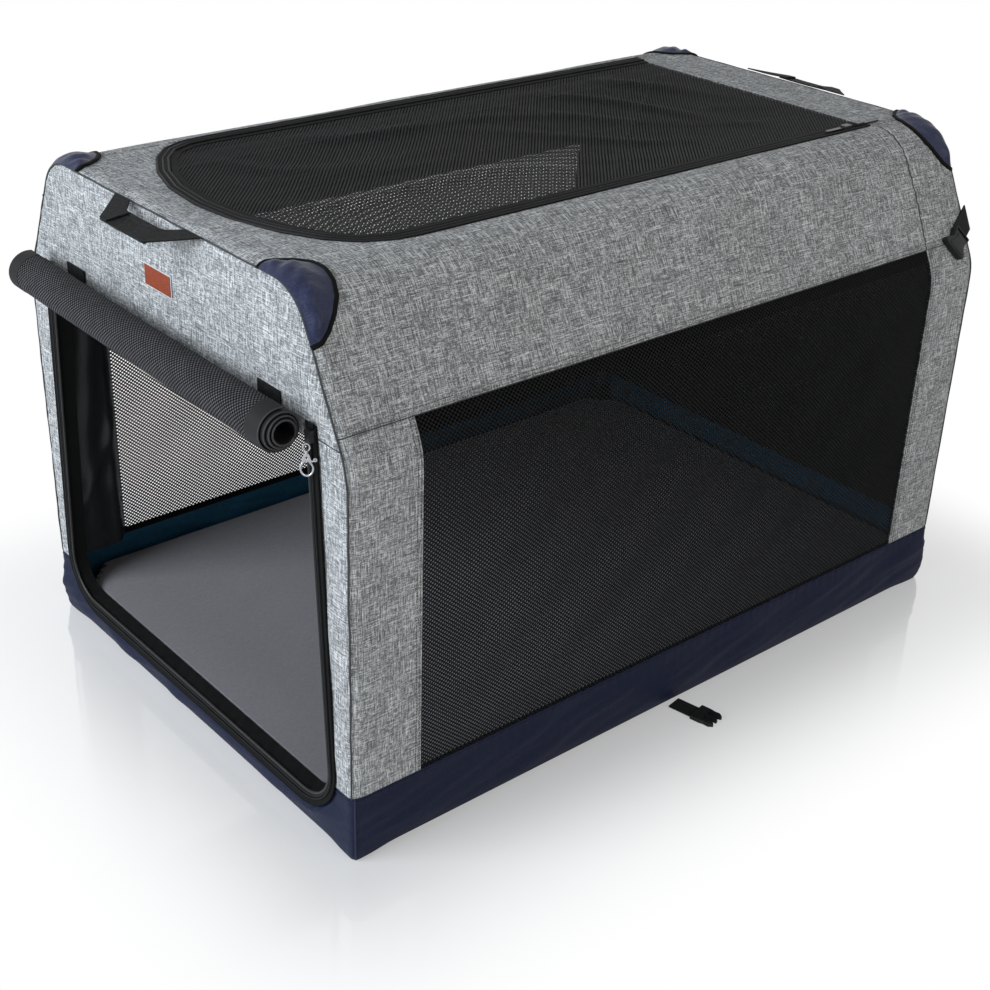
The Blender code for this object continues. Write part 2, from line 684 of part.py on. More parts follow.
def make_door_roll():
    """The front door, rolled up above its opening, and the slings that hold it."""
    steps = 20
    path = []
    for i in range(ROLL_TURNS * steps + 1):
        turn = i / steps
        radius = ROLL_RADIUS - ROLL_PITCH * turn
        angle = math.pi / 2 + 2 * math.pi * turn
        path.append((radius * math.cos(angle), radius * math.sin(angle)))
    apart = [
        math.dist(path[i], path[i + ahead])
        for ahead in range(steps // 2, len(path))
        for i in range(len(path) - ahead)
    ]
    print(f"door roll: least gap between turns {(min(apart) - ROLL_CLOTH) * 1000:.2f} mm")
    loop = strip(path, -ROLL_CLOTH / 2, ROLL_CLOTH / 2)
    roll = outline([loop], ROLL_X0, ROLL_X1, "YZ")
    placed(roll, (0, ROLL_Y, ROLL_Z))
    SHOP.file(roll, "door_roll", "black_mesh")
    half, thick = 0.019, 0.0012
    back_y = -END_Y - 0.0009
    under = ROLL_RADIUS + ROLL_CLOTH / 2 + 0.0012
    bend = arc((ROLL_Y, ROLL_Z), under, -0.15 * math.pi, -0.5 * math.pi, 5)
    sling = [(back_y, STRAP_TOP), (back_y, bend[0][1] + 0.010)] + bend
    for side, sx in (("left", -1), ("right", 1)):
        x = sx * STRAP_X
        strap = outline([strip(sling, -thick / 2, thick / 2)], x - half, x + half, "YZ")
        SHOP.file(strap, f"roll_strap_{side}", "black_webbing")


def make_door_zip():
    """The zip tape round the door opening, its top stop, the slider and the clip that pulls it."""
    front = -END_Y - GAP
    inner = both_sides(door_edge(HEM_WIDTH, TAPE_TOP))
    outer = both_sides(door_edge(HEM_WIDTH + TAPE_WIDTH, TAPE_TOP))
    tape = outline([outer + inner[::-1]], front - TAPE_THICK, front, "XZ")
    SHOP.file(tape, "door_zip_tape", "black_webbing")
    face = front - TAPE_THICK - GAP
    stop = box((ZIP_X - 0.0035, face - 0.002, 0.4645), (ZIP_X + 0.0025, face, 0.4690))
    SHOP.file(stop, "door_zip_stop", "zip_metal")
    slider = box((-0.0038, -0.0060, -0.006), (0.0038, 0, 0.006))
    placed(slider, (ZIP_X, face, ZIP_Z))
    SHOP.file(slider, "door_zip_slider", "zip_metal")
    neck, thick = 0.0022, 0.0024
    middle = (0, -0.0225)
    ring = arc(middle, 0.0068, math.pi / 2 + 0.34, math.pi / 2 - 0.34 + 2 * math.pi, 16, 0.0095)
    eye = arc(middle, 0.0044, 0.0, 2 * math.pi * 11 / 12, 11, 0.0068)
    loop = [(-neck, -0.0003)] + ring + [(neck, -0.0003)]
    clip = outline([loop, eye], -thick / 2, thick / 2, "XZ")
    placed(clip, (ZIP_X, CLIP_Y, ZIP_Z - 0.0065), CLIP_TURN)
    SHOP.file(clip, "door_zip_pull", "zip_metal")


def make_rear_strap():
    """The tie strap's upper end: webbing from the rear edge seam and the female buckle on it.

    Both lie on the sloped side. Their own X runs forward and down, and their Z out of the slope.
    """
    lean = math.atan2(SIDE_X - SHOULDER_X, HEIGHT - KINK_Z)
    seam_x = SIDE_X - (REAR_STRAP_Z - KINK_Z) * math.tan(lean)
    on_slope = Matrix(
        (
            (0.0, math.sin(lean), math.cos(lean), seam_x),
            (-1.0, 0.0, 0.0, END_Y + 0.0005),
            (0.0, -math.cos(lean), math.sin(lean), REAR_STRAP_Z),
            (0.0, 0.0, 0.0, 1.0),
        )
    ) @ Matrix.Rotation(REAR_STRAP_TILT, 4, "Z")
    reach, half, lift = 0.0235, 0.012, 0.0016
    cut_back = half * math.tan(REAR_STRAP_TILT)
    sewn = [(cut_back - 0.0018, half), (-cut_back - 0.0018, -half)]
    loop = [(reach, half), sewn[0], sewn[1], (reach, -half)]
    tab = outline([loop], lift - WEBBING / 2, lift + WEBBING / 2, "XY")
    tab.matrix_world = on_slope @ tab.matrix_world
    SHOP.file(tab, "rear_strap", "black_webbing")
    half_shape = [
        (0.0016, 0.0130),
        (0.010, 0.0128),
        (0.018, 0.0145),
        (0.025, 0.0178),
        (0.0285, 0.0175),
        (0.030, 0.0140),
    ]
    shape = half_shape + [(x, -y) for x, y in reversed(half_shape)]
    bottom, top = -0.0008, 0.0087
    middle, slot = (bottom + top) / 2, 0.0026
    buckle = meshed(outline([shape], bottom, top, "XY"))
    mouth = box((0.010, -0.0115, middle - slot), (0.040, 0.0115, middle + slot))
    windows = box((0.014, -0.030, middle - slot), (0.021, 0.030, middle + slot))
    cut(buckle, mouth, windows)
    for obj in (buckle, mouth, windows):
        hinge = Matrix.Translation((reach + GAP, 0, lift))
        obj.matrix_world = on_slope @ hinge @ obj.matrix_world
    SHOP.file(buckle, "female_buckle", "bracket_plastic")


def make_bottom_strap():
    """The tie strap's lower end: webbing from under the right side and a male buckle on it."""
    half, reach, body, prong, wide = 0.010, 0.030, 0.012, 0.018, 0.0130
    hinge = (BOTTOM_STRAP_X, BOTTOM_STRAP_Y, 0.0006 + WEBBING)
    web = box((0, -half, -WEBBING), (reach, half, 0))
    placed(web, hinge, BOTTOM_STRAP_TURN)
    SHOP.file(web, "bottom_strap", "black_webbing")
    start = reach + GAP
    root = start + body
    tip = root + prong
    upper = [
        (start, wide),
        (root, wide),
        (root + 0.006, wide - 0.001),
        (tip - 0.006, wide - 0.0005),
        (tip - 0.001, wide - 0.004),
        (tip - 0.003, wide - 0.0055),
        (root, wide - 0.0055),
        (root, 0.002),
        (tip - 0.002, 0.0014),
    ]
    loop = upper + [(x, -y) for x, y in reversed(upper)]
    prongs = outline([loop], -WEBBING, 0.0050 - WEBBING, "XY")
    placed(prongs, hinge, BOTTOM_STRAP_TURN)
    SHOP.file(prongs, "male_buckle", "bracket_plastic")


def main():
    make_frame()
    make_base_cover()
    make_mat()
    make_end_walls()
    make_sides()
    make_corner_patches()
    make_top()
    make_top_zip("front", 0.330, True)
    make_top_zip("rear", 0.352, False)
    make_handle("handle_front", math.pi)
    make_handle("handle_rear", 0.0)
    make_door_roll()
    make_door_zip()
    make_rear_strap()
    make_bottom_strap()


main()
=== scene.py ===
"""Looks of the folding dog crate: cloth box, nets, zips, webbing and buckles round its frame.

Metres throughout, in the frame's own axes: the rolled-up door faces -Y and +Z is up.
"""
import json
import logging
import math
from dataclasses import dataclass, replace
from enum import Enum
from typing import Sequence

import bmesh
import bpy
import numpy as np
from bpy.types import Material, Mesh, Node, NodeSocket, NodeTree, Object, bpy_prop_collection
from mathutils import Matrix, Vector

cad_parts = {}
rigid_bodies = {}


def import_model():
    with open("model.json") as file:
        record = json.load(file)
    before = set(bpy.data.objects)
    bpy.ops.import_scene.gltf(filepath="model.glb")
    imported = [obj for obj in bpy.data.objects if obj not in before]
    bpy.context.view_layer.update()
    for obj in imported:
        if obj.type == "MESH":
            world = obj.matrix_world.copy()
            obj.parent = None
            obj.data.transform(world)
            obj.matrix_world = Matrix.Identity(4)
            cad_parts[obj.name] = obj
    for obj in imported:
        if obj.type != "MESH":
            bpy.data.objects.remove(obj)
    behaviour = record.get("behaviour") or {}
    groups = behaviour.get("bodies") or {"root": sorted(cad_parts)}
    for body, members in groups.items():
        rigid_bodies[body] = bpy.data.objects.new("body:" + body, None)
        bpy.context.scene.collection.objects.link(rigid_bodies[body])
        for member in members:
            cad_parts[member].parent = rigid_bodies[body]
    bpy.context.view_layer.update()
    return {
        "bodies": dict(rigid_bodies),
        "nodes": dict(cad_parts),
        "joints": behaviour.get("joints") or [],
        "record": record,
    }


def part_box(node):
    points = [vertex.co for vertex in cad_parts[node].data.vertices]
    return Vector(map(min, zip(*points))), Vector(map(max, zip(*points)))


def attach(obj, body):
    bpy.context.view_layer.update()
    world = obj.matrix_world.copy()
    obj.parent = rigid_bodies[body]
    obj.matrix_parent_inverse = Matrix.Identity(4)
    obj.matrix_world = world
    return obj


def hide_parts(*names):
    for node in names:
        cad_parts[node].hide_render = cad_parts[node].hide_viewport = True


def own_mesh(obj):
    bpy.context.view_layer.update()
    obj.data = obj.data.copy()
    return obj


LOG = logging.getLogger("dog_crate")
Array = np.ndarray
Colour = tuple[float, float, float]
Point = tuple[float, float]
Value = float | NodeSocket

UP = (0.0, 0.0, 1.0)
AHEAD = (0.0, -1.0, 0.0)
MIRROR = np.array([-1.0, 1.0])
NET_THICKNESS = 0.0005
STITCH_LIFT = 0.0002


class Opposite(Enum):
    """One of two opposite places, whose value is its sign."""

    @property
    def word(self) -> str:
        """The place's word in a piece's name."""
        return self.name.lower()


class Side(Opposite):
    """Which long side a piece is on."""

    LEFT = -1
    RIGHT = 1


class End(Opposite):
    """Which end of the crate a piece is at."""

    FRONT = -1
    REAR = 1


# Shader building


class Shader:
    """Adds nodes to one material or node group and wires them up."""

    def __init__(self, tree: NodeTree) -> None:
        """Starts on a node tree."""
        self.tree = tree

    def set(self, node: Node, inputs: dict) -> Node:
        """Sets a node's inputs.

        Args:
            node: The node.
            inputs: Values or output sockets, by input name or number.

        Returns:
            The node.
        """
        for name, value in inputs.items():
            if isinstance(value, NodeSocket):
                self.tree.links.new(value, node.inputs[name])
            else:
                node.inputs[name].default_value = value
        return node

    def add(self, kind: str, inputs: dict | None = None, **settings: object) -> Node:
        """Adds a node.

        Args:
            kind: The node's type without its prefix, such as TexNoise.
            inputs: Values or output sockets, by input name or number.
            settings: The node's own properties.

        Returns:
            The new node.
        """
        node = self.tree.nodes.new("ShaderNode" + kind)
        for name, value in settings.items():
            setattr(node, name, value)
        return self.set(node, inputs or {})

    def group(self, tree: NodeTree, inputs: dict) -> bpy_prop_collection:
        """Places a shader node group with its inputs set, and returns its outputs."""
        return self.add("Group", inputs, node_tree=tree).outputs

    def math(self, operation: str, *values: Value) -> NodeSocket:
        """Adds a Math node on up to three values and returns its output."""
        return self.add("Math", dict(enumerate(values)), operation=operation).outputs[0]

    def noise(self, **inputs: Value) -> NodeSocket:
        """Adds a Noise Texture and returns its factor."""
        return self.add("TexNoise", inputs).outputs["Fac"]

    def spread(
        self,
        value: NodeSocket,
        low: float,
        high: float,
        to: Point = (0.0, 1.0),
        smooth: bool = False,
    ) -> NodeSocket:
        """Maps a range of values onto another.

        Args:
            value: The value.
            low: Where the range starts.
            high: Where it ends.
            to: What the two ends become.
            smooth: Whether the change starts and ends gently.

        Returns:
            The mapped value.
        """
        inputs = {
            "Value": value, "From Min": low, "From Max": high,
            "To Min": to[0], "To Max": to[1],
        }
        kind = "SMOOTHSTEP" if smooth else "LINEAR"
        return self.add("MapRange", inputs, interpolation_type=kind).outputs[0]

    def ramp(self, value: NodeSocket, stops: Sequence[tuple[float, Colour]]) -> NodeSocket:
        """Adds a Color Ramp through (place, colour) stops and returns its colour.

        Args:
            value: The value.
            stops: The stops.

        Returns:
            The colour's socket.
        """
        node = self.add("ValToRGB", {"Fac": value})
        elements = node.color_ramp.elements
        while len(elements) < len(stops):
            elements.new(0.5)
        for element, (place, colour) in zip(elements, stops):
            element.position = place
            element.color = (*colour, 1.0)
        return node.outputs["Color"]

    def mix(self, share: Value, *colours: Colour | NodeSocket) -> NodeSocket:
        """Mixes two colours, each a value or a socket, and returns the result."""
        first, second = (c if isinstance(c, NodeSocket) else (*c, 1.0) for c in colours)
        return self.add("Mix", {0: share, 6: first, 7: second}, data_type="RGBA").outputs[2]


def new_group(
    name: str, inputs: dict[str, float], outputs: Sequence[str]
) -> tuple[Shader, bpy_prop_collection, Node]:
    """Starts a shader node group, whose first input is a vector.

    Args:
        name: The group's name.
        inputs: The default of each further input, by name.
        outputs: Names of its float outputs.

    Returns:
        The group's Shader, its inputs as sockets to link from, and its output node.
    """
    tree = bpy.data.node_groups.new(name, "ShaderNodeTree")
    tree.interface.new_socket("Vector", in_out="INPUT", socket_type="NodeSocketVector")
    for label, value in inputs.items():
        socket = tree.interface.new_socket(label, in_out="INPUT", socket_type="NodeSocketFloat")
        socket.default_value = value
    for label in outputs:
        tree.interface.new_socket(label, in_out="OUTPUT", socket_type="NodeSocketFloat")
    entry, leave = tree.nodes.new("NodeGroupInput"), tree.nodes.new("NodeGroupOutput")
    return Shader(tree), entry.outputs, leave


class Effects:
    """The shader node groups that several finishes share, each built once."""

    def __init__(self) -> None:
        """Builds every group."""
        self.threads = self._threads()
        self.net = self._net()
        self.creases = self._creases()
        self.grain = self._grain()

    @staticmethod
    def _threads() -> NodeTree:
        """Woven threads with slubs: a tone for colour and a height for bump.

        Returns:
            The node group.
        """
        sizes = {"Pitch": 0.001, "Slub length": 20.0, "Slub strength": 0.1}
        shader, entry, leave = new_group("woven_threads", sizes, ("Height", "Tone"))
        place = shader.add("SeparateXYZ", {"Vector": entry["Vector"]})
        across = shader.math("DIVIDE", place.outputs["X"], entry["Pitch"])
        along = shader.math("DIVIDE", place.outputs["Y"], entry["Pitch"])
        fine, slubs = [], []
        for quick, slow, seed in ((across, along, 3.7), (along, across, 41.3)):
            for kind, width, length in ((fine, 0.85, 8.0), (slubs, 1.45, entry["Slub length"])):
                narrow = shader.math("DIVIDE", quick, width)
                drawn = shader.math("DIVIDE", slow, length)
                spot = shader.add("CombineXYZ", {"X": narrow, "Y": drawn, "Z": seed + width})
                kind.append(shader.noise(Vector=spot.outputs[0], Scale=1.0, Detail=1.0))
        marks = []
        for slub in slubs:
            pale, deep = shader.spread(slub, 0.59, 0.68), shader.spread(slub, 0.40, 0.30)
            marks.append(shader.math("SUBTRACT", pale, deep))
        mark = shader.math("ADD", *marks)
        crossed = shader.math("MULTIPLY", shader.math("ADD", *fine), 0.5)
        tone = shader.math("MULTIPLY_ADD", mark, entry["Slub strength"], crossed)
        ridges = []
        for value in (across, along):
            wave = shader.math("SINE", shader.math("MULTIPLY", value, math.pi))
            ridges.append(shader.math("ABSOLUTE", wave))
        relief = shader.math("MULTIPLY", shader.math("ADD", *ridges), 0.5)
        height = shader.math("ADD", relief, shader.math("MULTIPLY", tone, 2.0))
        shader.set(leave, {"Height": height, "Tone": tone})
        return shader.tree

    @staticmethod
    def _net() -> NodeTree:
        """Net cloth: staggered holes, with 1 on the threads and 0 in the holes.

        Returns:
            The node group.
        """
        sizes = {"Pitch": 0.0052, "Row pitch": 0.0047, "Hole limit": 0.2}
        shader, entry, leave = new_group("net_cloth", sizes, ("Cover", "Height", "Rib"))
        place = shader.add("SeparateXYZ", {"Vector": entry["Vector"]})
        phases = []
        for axis, pitch in (("X", "Pitch"), ("Y", "Row pitch")):
            turns = shader.math("DIVIDE", place.outputs[axis], entry[pitch])
            phases.append(shader.math("MULTIPLY", turns, 2 * math.pi))
        depth = shader.math("MULTIPLY", *[shader.math("COSINE", phase) for phase in phases])
        past = shader.math("SUBTRACT", depth, entry["Hole limit"])
        cover = shader.spread(past, 0.07, -0.07, smooth=True)
        # The threads' rounding: used for bump and for the painted shade towards their edges.
        dome = shader.spread(past, 0.1, -0.7, smooth=True)
        rib = shader.math("COSINE", shader.math("ADD", *phases))
        rib = shader.math("MULTIPLY_ADD", rib, 0.5, 0.5)
        shader.set(leave, {"Cover": cover, "Height": dome, "Rib": rib})
        return shader.tree

    @staticmethod
    def _creases() -> NodeTree:
        """Soft creases and uneven wear of handled cloth, as a height and a mask.

        Returns:
            The node group.
        """
        shader, entry, leave = new_group("soft_creases", {"Scale": 18.0}, ("Height", "Mask"))
        place, scale = entry["Vector"], entry["Scale"]
        warp = shader.noise(Vector=place, Scale=scale, Detail=3.0)
        scale = shader.math("MULTIPLY", scale, 3.0)
        fine = shader.noise(Vector=place, Scale=scale, Detail=4.0, Distortion=1.2)
        half = shader.math("SUBTRACT", warp, 0.5)
        fold = shader.math("SUBTRACT", 1.0, shader.math("ABSOLUTE", half))
        height = shader.math("ADD", fold, shader.math("MULTIPLY", fine, 0.25))
        shader.set(leave, {"Height": height, "Mask": shader.spread(fine, 0.35, 0.7)})
        return shader.tree

    @staticmethod
    def _grain() -> NodeTree:
        """Fine speckle of moulded plastic, paint and cast metal, as a height and a mask.

        Returns:
            The node group.
        """
        shader, entry, leave = new_group("fine_grain", {"Scale": 900.0}, ("Height", "Mask"))
        place, scale = entry["Vector"], entry["Scale"]
        fine = shader.noise(Vector=place, Scale=scale, Detail=2.0)
        scale = shader.math("MULTIPLY", scale, 0.04)
        broad = shader.noise(Vector=place, Scale=scale, Detail=3.0)
        shader.set(leave, {"Height": fine, "Mask": shader.spread(broad, 0.3, 0.7)})
        return shader.tree


def start_material(name: str) -> tuple[Material, Shader, Node]:
    """Makes a material and returns it with its Shader and its Principled BSDF.

    Args:
        name: The material's name.

    Returns:
        The material, its Shader and its Principled BSDF.
    """
    material = bpy.data.materials.new(name)
    material.use_nodes = True
    return material, Shader(material.node_tree), material.node_tree.nodes["Principled BSDF"]


def bump(shader: Shader, bsdf: Node, *layers: tuple[NodeSocket, float]) -> None:
    """Stacks Bump nodes onto a shader's Normal.

    Args:
        shader: The material's Shader.
        bsdf: Its Principled BSDF.
        layers: Height sockets, each with the depth in metres that it stands for.
    """
    normal = {}
    for height, depth in layers:
        inputs = {"Height": height, "Strength": 1.0, "Distance": depth, **normal}
        normal = {"Normal": shader.add("Bump", inputs).outputs["Normal"]}
    shader.set(bsdf, normal)


@dataclass(frozen=True)
class WovenFinish:
    """Woven cloth: tones of thread from dark to light, slubs, a weave and soft creases."""

    name: str
    dark: Colour
    middle: Colour
    light: Colour
    pitch: float = 0.0006
    slub: float = 6.0
    slub_strength: float = 0.03
    roughness: float = 0.7
    specular: float = 0.1
    sheen: float = 0.0
    weave_depth: float = 0.00006
    crease_depth: float = 0.0010
    crease_scale: float = 16.0

    def build(self, effects: Effects) -> Material:
        """Builds the material.

        Args:
            effects: The shared node groups.

        Returns:
            The material.
        """
        material, shader, bsdf = start_material(self.name)
        uv = shader.add("UVMap", uv_map="cloth").outputs["UV"]
        slubs = {"Slub length": self.slub, "Slub strength": self.slub_strength}
        weave = shader.group(effects.threads, {"Vector": uv, "Pitch": self.pitch, **slubs})
        creases = shader.group(effects.creases, {"Vector": uv, "Scale": self.crease_scale})
        tones = ((0.38, self.dark), (0.50, self.middle), (0.64, self.light))
        cloth = shader.ramp(weave["Tone"], tones)
        worn = shader.math("MULTIPLY", creases["Mask"], 0.15)
        looks = {
            "Base Color": shader.mix(worn, cloth, self.middle),
            "Roughness": self.roughness,
            "Specular IOR Level": self.specular,
            "Sheen Weight": self.sheen,
        }
        shader.set(bsdf, looks)
        depths = (self.weave_depth, self.crease_depth)
        bump(shader, bsdf, *zip((weave["Height"], creases["Height"]), depths))
        return material


@dataclass(frozen=True)
class NetFinish:
    """Net cloth. Where it is see-through, its holes are open; elsewhere they are painted dark as
    the shade inside. Its threads are painted darker towards the holes, as shade on a rounded
    thread.
    """

    name: str
    thread: Colour
    hollow: Colour
    open_holes: bool = True
    pitch: float = 0.0052
    row_pitch: float = 0.0047
    hole_limit: float = 0.22
    ribs: float = 0.0
    roughness: float = 0.6
    specular: float = 0.04

    def build(self, effects: Effects) -> Material:
        """Builds the material.

        Args:
            effects: The shared node groups.

        Returns:
            The material.
        """
        material, shader, bsdf = start_material(self.name)
        uv = shader.add("UVMap", uv_map="cloth").outputs["UV"]
        sizes = {"Pitch": self.pitch, "Row pitch": self.row_pitch, "Hole limit": self.hole_limit}
        net = shader.group(effects.net, {"Vector": uv, **sizes})
        creases = shader.group(effects.creases, {"Vector": uv, "Scale": 22.0})
        # Creases fade the threads at random towards the painted shade colour.
        fading = shader.math("MULTIPLY", creases["Mask"], 0.3)
        faded = shader.mix(fading, self.thread, self.hollow)
        # Painted shade: each thread darkens from its crest to the shade colour at the holes' edges.
        crest = shader.math("POWER", net["Height"], 1.8)
        colour = shader.mix(crest, self.hollow, faded)
        if self.ribs:
            shade = shader.math("MULTIPLY", net["Rib"], self.ribs)
            colour = shader.mix(shade, colour, self.hollow)
        looks = {
            "Base Color": colour,
            "Roughness": self.roughness,
            "Specular IOR Level": self.specular,
        }
        shader.set(bsdf, looks)
        # Where the holes stay closed, they keep the painted shade colour, which stands in for the
        # shade inside.
        if self.open_holes:
            shader.set(bsdf, {"Alpha": net["Cover"]})
        bump(shader, bsdf, (net["Height"], 0.0004))
        return material


@dataclass(frozen=True)
class SolidFinish:
    """Plastic, paint, metal or coated cloth with a fine grain and uneven gloss."""

    name: str
    colour: Colour
    worn: Colour
    roughness: float
    uneven: float = 0.08
    metallic: float = 0.0
    grain: float = 900.0
    grain_depth: float = 0.00004
    specular: float = 0.25

    def build(self, effects: Effects) -> Material:
        """Builds the material.

        Args:
            effects: The shared node groups.

        Returns:
            The material.
        """
        material, shader, bsdf = start_material(self.name)
        place = shader.add("TexCoord").outputs["Object"]
        grain = shader.group(effects.grain, {"Vector": place, "Scale": self.grain})
        wear = shader.math("MULTIPLY", grain["Mask"], 0.5)
        looks = {
            "Base Color": shader.mix(wear, self.colour, self.worn),
            "Roughness": shader.math("MULTIPLY_ADD", grain["Mask"], self.uneven, self.roughness),
            "Metallic": self.metallic,
            "Specular IOR Level": self.specular,
        }
        shader.set(bsdf, looks)
        bump(shader, bsdf, (grain["Height"], self.grain_depth))
        return material


class Palette:
    """Every material of the crate, by name."""

    FINISHES = (
        WovenFinish(
            "grey_melange_cloth", (0.12, 0.123, 0.125), (0.275, 0.282, 0.285), (0.74, 0.75, 0.755),
            pitch=0.00062, slub=40.0, slub_strength=0.12, roughness=0.9, weave_depth=0.00025,
        ),
        WovenFinish(
            "navy_cloth", (0.0062, 0.0085, 0.023), (0.0085, 0.0115, 0.030), (0.013, 0.017, 0.040),
            roughness=0.5, specular=0.09, crease_depth=0.0022, crease_scale=14.0,
        ),
        WovenFinish(
            "navy_patch_cloth", (0.010, 0.014, 0.038), (0.015, 0.019, 0.052), (0.023, 0.029, 0.072),
            roughness=0.34, specular=0.22, weave_depth=0.00005,
            crease_depth=0.0016, crease_scale=45.0,
        ),
        WovenFinish(
            "teal_lining", (0.014, 0.060, 0.110), (0.020, 0.085, 0.150), (0.028, 0.110, 0.185),
            roughness=0.5, crease_depth=0.002,
        ),
        WovenFinish(
            "black_lining", (0.004, 0.004, 0.004), (0.007, 0.007, 0.0075), (0.012, 0.012, 0.013),
            pitch=0.0007, slub=5.0, roughness=0.32, specular=0.35, weave_depth=0.00005,
            crease_depth=0.003, crease_scale=9.0,
        ),
        WovenFinish(
            "mat_cloth", (0.165, 0.160, 0.172), (0.187, 0.181, 0.194), (0.21, 0.204, 0.219),
            pitch=0.0007, slub=3.0, slub_strength=0.02, roughness=0.85, sheen=0.15,
            weave_depth=0.00008, crease_depth=0.0015, crease_scale=7.0,
        ),
        WovenFinish(
            "black_webbing", (0.005, 0.005, 0.005), (0.011, 0.0115, 0.0115), (0.022, 0.023, 0.023),
            pitch=0.0012, slub=3.0, weave_depth=0.0003, crease_depth=0.0004,
        ),
        WovenFinish(
            "label_cloth", (0.17, 0.036, 0.017), (0.215, 0.048, 0.023), (0.265, 0.062, 0.032),
            pitch=0.0005, slub=4.0, weave_depth=0.0001, crease_depth=0.0001,
        ),
        # Each net's second colour is painted shade: at the threads' edges and in holes that stay
        # closed.
        NetFinish("see_through_net", (0.016, 0.016, 0.0165), (0.003, 0.003, 0.003)),
        NetFinish("roof_net", (0.043, 0.043, 0.044), (0.010, 0.010, 0.010), hole_limit=0.11),
        # The rolled net's holes stay closed and are painted dark for the shade inside the roll.
        NetFinish(
            "rolled_net", (0.110, 0.107, 0.114), (0.004, 0.004, 0.004), False,
            pitch=0.0046, row_pitch=0.0040, ribs=0.45,
        ),
        SolidFinish(
            "hem_tape", (0.012, 0.012, 0.0125), (0.019, 0.019, 0.0195), 0.5,
            grain=1500.0, specular=0.1,
        ),
        SolidFinish(
            "hem_edge", (0.045, 0.045, 0.047), (0.07, 0.07, 0.073), 0.5,
            grain=1500.0, specular=0.1,
        ),
        SolidFinish(
            "zip_tape", (0.004, 0.004, 0.004), (0.008, 0.008, 0.008), 0.6,
            grain=1800.0, specular=0.05,
        ),
        SolidFinish(
            "glossy_cord", (0.004, 0.004, 0.004), (0.008, 0.008, 0.008), 0.33, specular=0.3
        ),
        SolidFinish("zip_teeth", (0.012, 0.012, 0.012), (0.02, 0.02, 0.02), 0.3, grain=1200.0),
        SolidFinish("edge_piping", (0.035, 0.036, 0.039), (0.07, 0.07, 0.075), 0.7, grain=1500.0),
        SolidFinish("pale_thread", (0.45, 0.46, 0.47), (0.6, 0.6, 0.61), 0.7, grain=3000.0),
        SolidFinish("grey_thread", (0.07, 0.07, 0.072), (0.12, 0.12, 0.122), 0.7, grain=3000.0),
        SolidFinish("navy_thread", (0.012, 0.014, 0.035), (0.02, 0.024, 0.05), 0.6, grain=3000.0),
        SolidFinish(
            "frame_powder_coat", (0.075, 0.075, 0.080), (0.10, 0.10, 0.106), 0.30,
            metallic=0.2, specular=0.5,
        ),
        SolidFinish(
            "bracket_plastic", (0.008, 0.008, 0.008), (0.014, 0.014, 0.014), 0.42, grain=700.0
        ),
        SolidFinish("bright_steel", (0.50, 0.50, 0.51), (0.40, 0.40, 0.41), 0.28, metallic=1.0),
        SolidFinish(
            "zip_nickel", (0.52, 0.52, 0.53), (0.40, 0.40, 0.41), 0.2, metallic=1.0, grain=500.0
        ),
        SolidFinish("zip_dark_metal", (0.04, 0.04, 0.04), (0.07, 0.07, 0.07), 0.3, metallic=0.8),
    )

    def __init__(self) -> None:
        """Builds every material."""
        effects = Effects()
        self.materials = {finish.name: finish.build(effects) for finish in self.FINISHES}

    def __getitem__(self, name: str) -> Material:
        """A material by its name."""
        return self.materials[name]


# Flat paths and the crate's own outline


def unit(vectors: Array) -> Array:
    """The same vectors at length 1."""
    return vectors / np.maximum(np.linalg.norm(vectors, axis=-1, keepdims=True), 1e-12)


def rounded_path(corners: Sequence[Point], radii: Sequence[float]) -> Array:
    """Rounds the inner corners of a flat path.

    Args:
        corners: The path's corners.
        radii: A radius for each inner corner.

    Returns:
        The path's points, with each corner an arc.
    """
    steps = 10
    path = [np.array(corners[0], float)]
    for i, radius in enumerate(radii):
        before, corner, after = (np.array(p, float) for p in corners[i : i + 3])
        into, out = unit(corner - before), unit(after - corner)
        bend = math.acos(float(np.clip(into @ out, -1, 1)))
        reach = radius * math.tan(bend / 2)
        start, end = corner - into * reach, corner + out * reach
        centre = corner + unit(out - into) * radius / math.cos(bend / 2)
        for k in range(steps + 1):
            t = k / steps
            share = math.sin(t * bend) / math.sin(bend)
            rest = math.sin((1 - t) * bend) / math.sin(bend)
            path.append(centre + (start - centre) * rest + (end - centre) * share)
    path.append(np.array(corners[-1], float))
    return np.array(path)


def lengths_along(path: Array) -> Array:
    """The running length at each point of a path."""
    steps = np.linalg.norm(np.diff(path, axis=0), axis=1)
    return np.concatenate(([0.0], np.cumsum(steps)))


def at_places(path: Array, run: Array, places: Sequence[float]) -> Array:
    """The points of a path, or of values along it, at places on its running length."""
    return np.stack([np.interp(places, run, line) for line in path.T], axis=1)


def resampled(path: Array, count: int) -> Array:
    """The same path with evenly spaced points."""
    run = lengths_along(path)
    return at_places(path, run, np.linspace(0.0, run[-1], count))


def in_plane(path: Array, y: float) -> Array:
    """Lifts a flat (x, z) path into space at one y."""
    return np.stack([path[:, 0], np.full(len(path), y), path[:, 1]], axis=1)


def at_side(path: Array, x: float | Array) -> Array:
    """Lifts a flat (y, z) path into space at one x, or at one for each point."""
    return np.column_stack([np.broadcast_to(x, len(path)), path])


def at_height(path: Array, z: float) -> Array:
    """Lifts a flat (x, y) path into space at one height."""
    return np.column_stack([path, np.full(len(path), z)])


def mirrored(half: Array) -> Array:
    """A flat path that ends on the crate's middle line, with its mirror image after it."""
    return np.concatenate([half[:-1], (half * MIRROR)[::-1]])


def beside(path: Array) -> Array:
    """Unit normals of a flat path, on its right."""
    tangent = unit(np.gradient(path, axis=0))
    return np.stack([tangent[:, 1], -tangent[:, 0]], axis=1)


def between(first: Array, second: Array, share: Array) -> Array:
    """A grid whose columns go from one flat path to another by the given shares."""
    share = share[None, :, None]
    return first[:, None, :] * (1 - share) + second[:, None, :] * share


